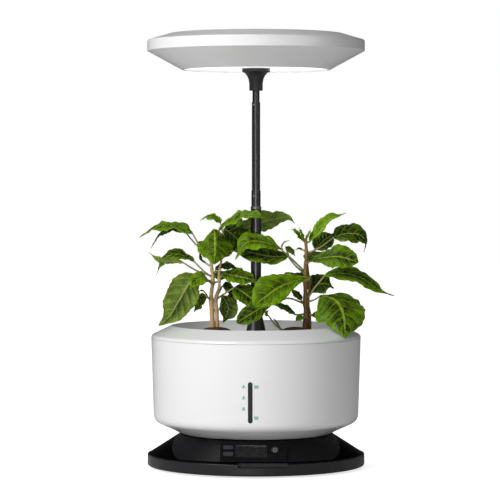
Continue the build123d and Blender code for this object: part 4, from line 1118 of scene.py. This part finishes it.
RIGHT_PLANT = Plant(
    side="right",
    pod_x=50.0,
    seed=23,
    stem_finish=StemBark("stem_right", (0.13, 0.05, 0.01), (0.3, 0.17, 0.04), 184.0, 224.0),
    limbs=(
        Limb(((61, 0, 168), (62, 0, 180), (63, 0, 192), (62, 0, 206), (62, 0, 225), (62, 0, 246),
             (63, 0, 266),
              (62, 0, 286)), 3.9, 1.6),
        Limb(((67, 3, 168), (67, 3, 190), (65, 2, 206), (67, 2, 228), (63, 1, 262)), 2.5, 1.1),
    ),
    leaves=(
        # the fifth number is the leaf's tone: high for new leaves, low for leaves deep in the foliage as
        # painted shade
        Leaf((62, 0, 280), ((67, 2, 282), (78, 5, 297), (92, 8, 312), (104, 9, 314), (114, 11, 318)),
             18, 35, 0.8,
             broadest=0.4, drip=0.5),
        Leaf((62, 0, 284), ((58, -2, 284), (52, -4, 291), (49, -6, 295), (43, -8, 298)), 13, 40, 0.8),
        Leaf((62, 0, 284), ((60, -1, 282), (58, -1, 288), (56, 0, 294), (54, 1, 300)), 13, 0, 0.85),
        Leaf((62, 0, 284), ((62, 2, 284), (65, 3, 289), (67, 4, 293), (69, 5, 298)), 9, 0, 0.85),
        Leaf((63, 0, 266), ((97, 12, 287), (114, 16, 291), (129, 20, 290), (138, 23, 281),
             (136, 24, 267)), 32, 52,
             0.1, broadest=0.36),
        Leaf((63, 0, 264), ((74, 14, 272), (82, 20, 279), (92, 26, 287), (101, 32, 291)), 27, 45, 0.0),
        Leaf((62, 0, 254), ((66, -10, 257), (85, -18, 262), (105, -26, 263), (127, -32, 257)), 37, 50, 0.3,
             broadest=0.62, drip=0.0),
        Leaf((64, 0, 210), ((86, -6, 240), (107, -9, 242), (132, -12, 236), (154, -12, 221),
             (174, -12, 214)), 27, 40,
             0.3, broadest=0.34, bow=0.02),
        Leaf((64, 0, 208), ((68, 8, 218), (76, 12, 226), (88, 16, 228), (99, 18, 222)), 32, 55, 0.0),
        Leaf((64, 0, 206), ((80, -24, 216), (97, -42, 210), (107, -59, 193), (109, -76, 166)), 64, 20, 0.3,
             fold=-10, broadest=0.44, drip=0.25),
        Leaf((62, 0, 232), ((69, -10, 239), (47, -20, 233), (29, -30, 226), (11, -38, 214),
             (-3, -44, 203)), 42, 54,
             0.5, broadest=0.66, drip=0.0, lean=0.12),
        Leaf((60, 0, 204), ((26, -34, 209), (9, -42, 202), (-8, -49, 193), (-24, -53, 183)), 26, 50, 0.1,
             broadest=0.66, drip=0.0, bow=0.1),
        Leaf((61, 0, 191), ((49, -4, 191), (40, -8, 197), (30, -11, 202), (19, -14, 203)), 15, 38, 0.3),
        Leaf((36, -4, 169), ((30, -5, 175), (27, -6, 179), (24, -7, 183), (21, -8, 187)), 9, 20, 0.1),
        Leaf((35, -3, 169), ((15, -9, 189), (13, -10, 192), (14, -11, 195), (17, -12, 197)), 7, 20, 0.05),
        Leaf((62, 0, 187), ((60, -6, 187), (56, -8, 187), (52, -9, 185), (49, -10, 182)), 11, 35, 0.7),
        Leaf((41, -17, 263), ((37, -17, 276), (41, -19, 273), (45, -21, 269), (49, -22, 264)), 10, 30, 0.0),
        Leaf((33, -25, 272), ((31, -24, 276), (34, -26, 281), (38, -28, 283), (42, -30, 284)), 6, 20, 0.6),
        Leaf((61, 0, 244), ((32, -26, 273), (12, -30, 281), (-12, -33, 281), (-26, -36, 260)), 32, 40, 0.5,
             broadest=0.5, bow=0.0),
        Leaf((61, 0, 241), ((40, -16, 264), (18, -20, 264), (-12, -21, 269), (-33, -13, 271)), 28, 50, 0.1),
        Leaf((65, 1, 190), ((70, -8, 191), (76, -14, 192), (82, -18, 190), (88, -21, 184)), 15, 40, 0.0),
        Leaf((61, 0, 204), ((57, 4, 208), (53, 6, 213), (48, 8, 218), (43, 9, 223)), 12, 30, 0.0),
        Leaf((62, 0, 270), ((58, 2, 272), (54, 3, 273), (51, 4, 272), (48, 5, 270)), 6, 20, 0.0),
        Leaf((62, 0, 250), ((66, 12, 256), (74, 27, 264), (82, 43, 266), (88, 58, 260)), 30, 0, 0.25),
        Leaf((62, 0, 228), ((58, 12, 233), (53, 28, 238), (47, 44, 239), (42, 60, 232)), 30, 0, 0.2),
    ),
)


# ---------------------------------------------------------------- rigid sub-assemblies
WHITE = MouldedPlastic("white_gloss_plastic", (0.87, 0.87, 0.875), 0.2, 0.002, 0.5, 0.05, 0.4, mottle=0.012)
WHITE_SATIN = MouldedPlastic("white_satin_plastic", (0.74, 0.74, 0.73), 0.45, 0.02, 0.7)
LAMP_WHITE = MouldedPlastic("lamp_white_plastic", (0.86, 0.86, 0.865), 0.28, 0.003, 0.5, 0.06, 0.2,
                            mottle=0.012)
BASE_BLACK = RimmedPlastic("base_black_plastic")
SATIN_BLACK = MouldedPlastic("satin_black_plastic", (0.012, 0.012, 0.013), 0.38, 0.02, 0.45, 0.1, 0.0, 0.4,
                             (0.09, 0.09, 0.09), 0.4)
INNER_BLACK = MouldedPlastic("inner_black_plastic", (0.02, 0.02, 0.022), 0.55, 0.03, 0.6, 0.1)
FASCIA_GREY = MouldedPlastic("fascia_grey_plastic", (0.0075, 0.0075, 0.0088), 0.42, 0.012, 0.35, 0.08, 0.0,
                             0.12, (0.1, 0.1, 0.105), 0.5)
DISPLAY_BLACK = MouldedPlastic("display_black_plastic", (0.0045, 0.0045, 0.0055), 0.3, 0.006, 0.4, 0.08,
                               0.0, 0.12, (0.12, 0.12, 0.125), 0.5)
KEY_GREY = MouldedPlastic("key_grey_plastic", (0.03, 0.03, 0.033), 0.4, 0.012, 0.35, 0.1, 0.0, 0.3,
                          (0.2, 0.2, 0.2), 0.4)
MARK_TEAL = MouldedPlastic("teal_print", (0.05, 0.34, 0.26), 0.45, 0.004, 0.3)
MARK_GREY = MouldedPlastic("pale_grey_print", (0.42, 0.42, 0.42), 0.5, 0.004, 0.3)
LED_PHOSPHOR = MouldedPlastic("led_phosphor", (0.75, 0.62, 0.2), 0.4, 0.01, 0.4)
LED_WHITE = MouldedPlastic("led_board_white", (0.8, 0.8, 0.78), 0.5, 0.01, 0.5)
RUBBER = SoftRubber("black_rubber")
CABLE = SoftRubber("cable_sheath", (0.018, 0.018, 0.02), 0.3)
SILICONE = SoftRubber("grey_silicone", (0.42, 0.42, 0.42), 0.4, (0.36, 0.36, 0.35))
TUBE_METAL = DrawnMetal("black_anodised_tube", (0.09, 0.088, 0.086), 0.26, (1.0, 1.0, 0.02))
TRIM_METAL = DrawnMetal("dark_trim_metal", (0.22, 0.21, 0.205), 0.34, (1.0, 1.0, 0.3), anisotropy=0.2)
ZINC = DrawnMetal("zinc_plated_steel", (0.56, 0.56, 0.55), 0.3, (1.0, 1.0, 1.0), anisotropy=0.0)
ALUMINIUM = DrawnMetal("aluminium_sheet", (0.78, 0.78, 0.79), 0.35, (0.02, 1.0, 1.0), anisotropy=0.3)
SMOKED = ClearPlastic("smoked_window", (0.035, 0.034, 0.038), 0.1, 0.6)
CLEAR = ClearPlastic("display_window", (0.4, 0.4, 0.42), 0.05, 0.97, specular=0.06)
MILKY = ClearPlastic("milky_tube", (0.82, 0.84, 0.82), 0.25, 0.6)
FROSTED = ClearPlastic("frosted_diffuser", (0.95, 0.95, 0.95), 0.55, 0.25, 0.1, glow=0.7)


@dataclass
class PoweredBase:
    """The oval base with its display block, keys and the parts inside it."""

    panel_middle: Point = (-3.5, -100.5, 29.4)
    panel_normal: Point = (0.0, -0.91648, 0.40006)
    key_front: float = 2.1
    mark_height: float = 0.12
    power_centre: tuple[float, float] = (26.4, 2.2)
    power_ring: tuple[float, float] = (2.25, 1.75)
    power_gap: float = 38.0
    power_bar: tuple[float, float] = (0.5, 2.3)
    power_bar_foot: float = 0.3
    arc_steps: int = 28

    def build(self) -> None:
        """Dresses the base and prints the mark on its power key."""
        dress(BASE_BLACK, "base_housing")
        dress(INNER_BLACK, "base_bottom_cover", "base_contacts", "dc_jack")
        dress(ZINC, "base_screws", "board_screws")
        dress(RUBBER, "foot_ring", "reservoir_seat")
        dress(FASCIA_GREY, "front_fascia")
        dress(DISPLAY_BLACK, "display_bezel")
        dress(CLEAR, "display_lens")
        dress(SegmentDisplay("display_glass"), "lcd_module")
        dress(CircuitBoard("panel_circuit_board"), "panel_board")
        dress(CircuitBoard("main_circuit_board"), "control_board")
        dress(KEY_GREY, "key_upper", "key_lower", "power_key")
        self.power_mark()

    def on_panel(self, across: float, up: float, out: float) -> Vector:
        """Gives a place on the slanted panel.

        Args:
            across: Millimetres to the right of the panel's middle.
            up: Millimetres up the slope.
            out: Millimetres out of the panel.

        Returns:
            The place in metres.
        """
        normal = Vector(self.panel_normal)
        slope = normal.cross(Vector((1, 0, 0)))
        return (Vector(self.panel_middle) + Vector((across, 0, 0)) + slope * up + normal * out) * MM

    def power_mark(self) -> None:
        """Prints an open ring with an upright bar on the power key."""
        x, y = self.power_centre
        outer, inner = self.power_ring
        start, end = math.radians(90 + self.power_gap), math.radians(450 - self.power_gap)
        turns = [start + (end - start) * step / self.arc_steps for step in range(self.arc_steps + 1)]
        outline = [self.on_panel(x + outer * math.cos(turn), y + outer * math.sin(turn), self.key_front)
                   for turn in turns]
        outline += [self.on_panel(x + inner * math.cos(turn), y + inner * math.sin(turn), self.key_front)
                    for turn in reversed(turns)]
        lift = Vector(self.panel_normal) * self.mark_height * MM
        half, height, foot = self.power_bar[0] / 2, self.power_bar[1], self.power_bar_foot
        bar = [self.on_panel(x + dx, y + dy, self.key_front)
               for dx, dy in ((-half, foot), (half, foot), (half, height), (-half, height))]
        corners, faces = joined([plate(back, [corner + lift for corner in back]) for back in (outline, bar)])
        shown("power_key_mark", corners, faces, "power_button", [MARK_GREY], "key_caps", smooth=False)


@dataclass
class WaterTub:
    """The lift-off tub with its level gauge, float and pump."""

    wall_radius: float = 129.05
    wall_taper: float = 0.0282
    wall_middle: float = 91.9
    print_height: float = 0.09
    left_x: float = -14.8
    left_heights: tuple[float, ...] = (111.6, 98.2, 84.9)
    right_x: float = 0.4
    right_heights: tuple[float, ...] = (111.0, 73.6)
    mark_width: float = 4.6
    mark_bar: tuple[float, float] = (-1.55, 0.9)  # height of its middle, and its thickness
    triangle: tuple[float, float, float] = (0.62, -0.5, 2.3)  # width as a share, foot and top
    line_bar: tuple[float, float] = (1.1, 0.8)  # width as a share, and thickness
    line_steps: tuple[float, ...] = (-1.3, 0.0, 1.3)

    def build(self) -> None:
        """Dresses the tub and prints the level marks beside the gauge."""
        dress(WHITE, "reservoir_tub")
        dress(SMOKED, "gauge_window")
        dress(RUBBER, "gauge_gasket", "pump_feet")
        dress(INNER_BLACK, "float_guide", "level_float", "reservoir_contact", "pump_body", "pump_strainer")
        dress(CABLE, "column_lead", "pump_lead")
        dress(MILKY, "pump_riser")
        self.level_marks()

    def on_wall(self, x: float, z: float, out: float) -> Vector:
        """Gives a place on the front of the tub's wall.

        Args:
            x: Millimetres to the right of the mast.
            z: Millimetres above the worktop.
            out: Millimetres out of the wall.

        Returns:
            The place in metres.
        """
        radius = self.wall_radius + (z - self.wall_middle) * self.wall_taper + out
        return Vector((x, -math.sqrt(radius**2 - x**2), z)) * MM

    def stamp(self, outline: Sequence[tuple[float, float]]) -> tuple[list[Vector], list[list[int]]]:
        """Makes a thin print on the wall from an outline of (x, z) points."""
        return plate([self.on_wall(x, z, 0.0) for x, z in outline],
                     [self.on_wall(x, z, self.print_height) for x, z in outline])

    def bar(self, x: float, z: float, width: float, height: float) -> tuple[list[Vector], list[list[int]]]:
        """Makes a flat bar of print with its middle at (x, z)."""
        w, h = width / 2, height / 2
        lower = [(x + step, z - h) for step in (-w, 0.0, w)]
        return self.stamp(lower + [(place, z + h) for place, _ in reversed(lower)])

    def level_marks(self) -> None:
        """Prints triangles left of the gauge and short bars right of it."""
        parts = []
        half = self.mark_width / 2
        share, foot, top = self.triangle
        middle, thickness = self.mark_bar
        line_share, line_thickness = self.line_bar
        for z in self.left_heights:
            left, right = self.left_x - half * share, self.left_x + half * share
            parts.append(self.stamp([(left, z + foot), (right, z + foot), (self.left_x, z + top)]))
            parts.append(self.bar(self.left_x, z + middle, self.mark_width, thickness))
        for z in self.right_heights:
            parts += [self.bar(self.right_x, z + step, self.mark_width * line_share, line_thickness)
                      for step in self.line_steps]
        corners, faces = joined(parts)
        shown("level_marks", corners, faces, "reservoir", [MARK_TEAL], "white_shell", smooth=False)


@dataclass
class PlantingDeck:
    """The lift-off deck with its rim, seal and net cups."""

    sides: tuple[str, ...] = ("left", "right")

    def build(self) -> None:
        """Dresses the deck's solids."""
        dress(WHITE, "deck_rim")
        dress(WHITE_SATIN, "planting_deck")
        dress(SILICONE, "deck_seal")
        dress(SATIN_BLACK, *(f"net_cup_{side}" for side in self.sides))


@dataclass
class TelescopicMast:
    """The mast's foot, four stages, collar and stop screws."""

    stages: tuple[str, ...] = ("mast_tube_1", "mast_tube_2", "mast_tube_3", "mast_rod_4")

    def build(self) -> None:
        """Dresses the mast's solids."""
        dress(SATIN_BLACK, "mast_foot")
        dress(ZINC, "mast_nut")
        dress(TUBE_METAL, *self.stages)
        dress(TRIM_METAL, "mast_collar", "stop_screw_2", "stop_screw_3")


@dataclass
class LampHead:
    """The round lamp with its neck, shade, diffuser and inner parts."""

    def build(self) -> None:
        """Dresses the lamp's solids."""
        dress(SATIN_BLACK, "lamp_neck")
        dress(LAMP_WHITE, "lamp_shade", "lamp_top_cover")
        dress(WHITE_SATIN, "lamp_hub")
        dress(FROSTED, "lamp_diffuser")
        dress(LED_WHITE, "led_board")
        dress(LED_PHOSPHOR, "led_chips")
        dress(ALUMINIUM, "heat_spreader")
        dress(ZINC, "spreader_screws")
        dress(INNER_BLACK, "lamp_driver")


# ---------------------------------------------------------------- studio
@dataclass(frozen=True)
class Softbox:
    """A square area lamp that faces a point; places in metres."""

    name: str
    place: Point
    aim: Point
    size: float
    power: float

    def build(self) -> None:
        """Hangs the lamp."""
        light = bpy.data.lights.new(self.name, "AREA")
        light.size, light.energy = self.size, self.power
        lamp = bpy.data.objects.new(self.name, light)
        lamp.location = self.place
        lamp.rotation_euler = (Vector(self.aim) - Vector(self.place)).to_track_quat("-Z", "Y").to_euler()
        bpy.context.scene.collection.objects.link(lamp)


@dataclass
class Studio:
    """Pale floor, soft light and the camera."""

    floor_size: float = 12.0
    floor_segments: int = 24
    floor_drop: float = 0.0002
    world_light: tuple[float, float] = (0.11, 0.16)
    glow_reach: tuple[float, float] = (0.1, 0.2)
    glow_levels: tuple[float, float] = (0.7, 1.0)
    camera_place: Point = (0.0, -3.0, 0.371)
    camera_aim: Point = (-0.0075, 0.0, 0.2711)
    focal_length: float = 172.8
    softboxes: tuple[Softbox, ...] = (
        Softbox("key_light", (-1.6, -1.7, 1.5), (0.0, 0.0, 0.25), 1.1, 52.0),
        Softbox("front_light", (-0.3, -2.4, 0.12), (0.0, 0.0, 0.4), 0.8, 10.0),
        Softbox("fill_light", (2.0, -1.6, 0.9), (0.0, 0.0, 0.25), 1.2, 4.5),
        Softbox("top_light", (0.1, 0.5, 2.1), (0.0, 0.0, 0.3), 1.2, 1.5),
    )

    def build(self) -> None:
        """Sets up the floor, the lamps, the world and the camera."""
        self.floor()
        for softbox in self.softboxes:
            softbox.build()
        self.world()
        self.camera()
        bpy.context.scene.view_settings.view_transform = "Standard"

    def floor(self) -> None:
        """Lays the floor, white to the camera and still dimmed by the object's shadow."""
        half, steps = self.floor_size / 2, self.floor_segments
        stops = [-half + self.floor_size * step / steps for step in range(steps + 1)]
        corners = [Vector((x, y, -self.floor_drop)) for y in stops for x in stops]
        faces = [[j * (steps + 1) + i, j * (steps + 1) + i + 1, (j + 1) * (steps + 1) + i + 1,
                  (j + 1) * (steps + 1) + i] for j in range(steps) for i in range(steps)]
        mesh = bpy.data.meshes.new("studio_floor")
        mesh.from_pydata([tuple(corner) for corner in corners], [], faces)
        floor = bpy.data.objects.new("studio_floor", mesh)
        bpy.context.scene.collection.objects.link(floor)
        graph = Graph("pale_floor")
        graph.fix(Socket.COLOUR, (0.8, 0.8, 0.8))
        graph.fix(Socket.ROUGHNESS, 0.9)
        glow = graph.add("Emission")
        glow.inputs["Color"].default_value = (1.0, 1.0, 1.0, 1.0)
        path = graph.add("LightPath")
        distance = graph.add("VectorMath")
        distance.operation = "LENGTH"
        graph.link(graph.place(), distance.inputs[0])
        level = graph.spread(distance.outputs["Value"], *self.glow_reach, *self.glow_levels)
        graph.link(graph.sum("MULTIPLY", path.outputs["Is Camera Ray"], level), glow.inputs["Strength"])
        both = graph.add("AddShader")
        graph.link(graph.shader.outputs["BSDF"], both.inputs[0])
        graph.link(glow.outputs["Emission"], both.inputs[1])
        graph.link(both.outputs["Shader"], graph.tree.nodes["Material Output"].inputs["Surface"])
        mesh.materials.append(graph.material)

    def world(self) -> None:
        """Makes the world white to the camera and an even soft light for the object."""
        world = bpy.data.worlds.new("studio_world")
        bpy.context.scene.world = world
        world.use_nodes = True
        tree = world.node_tree
        path = tree.nodes.new("ShaderNodeLightPath")
        parts = tree.nodes.new("ShaderNodeSeparateXYZ")
        tree.links.new(tree.nodes.new("ShaderNodeTexCoord").outputs["Generated"], parts.inputs["Vector"])
        sky = tree.nodes.new("ShaderNodeMapRange")
        sky.inputs["To Min"].default_value, sky.inputs["To Max"].default_value = self.world_light
        tree.links.new(parts.outputs["Z"], sky.inputs["Value"])
        level = tree.nodes.new("ShaderNodeMapRange")
        level.inputs["To Max"].default_value = 1.0
        tree.links.new(sky.outputs["Result"], level.inputs["To Min"])
        tree.links.new(path.outputs["Is Camera Ray"], level.inputs["Value"])
        background = tree.nodes["Background"]
        background.inputs["Color"].default_value = (1.0, 1.0, 1.0, 1.0)
        tree.links.new(level.outputs["Result"], background.inputs["Strength"])

    def camera(self) -> None:
        """Stands the camera before the object, a little above the lamp mast's middle."""
        data = bpy.data.cameras.new("studio_camera")
        data.lens, data.sensor_width = self.focal_length, 36.0
        camera = bpy.data.objects.new("studio_camera", data)
        camera.location = self.camera_place
        aim = Vector(self.camera_aim) - Vector(self.camera_place)
        camera.rotation_euler = aim.to_track_quat("-Z", "Y").to_euler()
        bpy.context.scene.collection.objects.link(camera)
        bpy.context.scene.camera = camera


def main() -> None:
    """Builds every sub-assembly in order."""
    logging.basicConfig(level=logging.INFO, format="%(name)s: %(message)s")
    parts: tuple[Callable[[], None], ...] = (
        PoweredBase().build, WaterTub().build, PlantingDeck().build, LEFT_PLANT.build, RIGHT_PLANT.build,
        TelescopicMast().build, LampHead().build, Studio().build,
    )
    for build in parts:
        build()


if __name__ == "__main__":
    main()
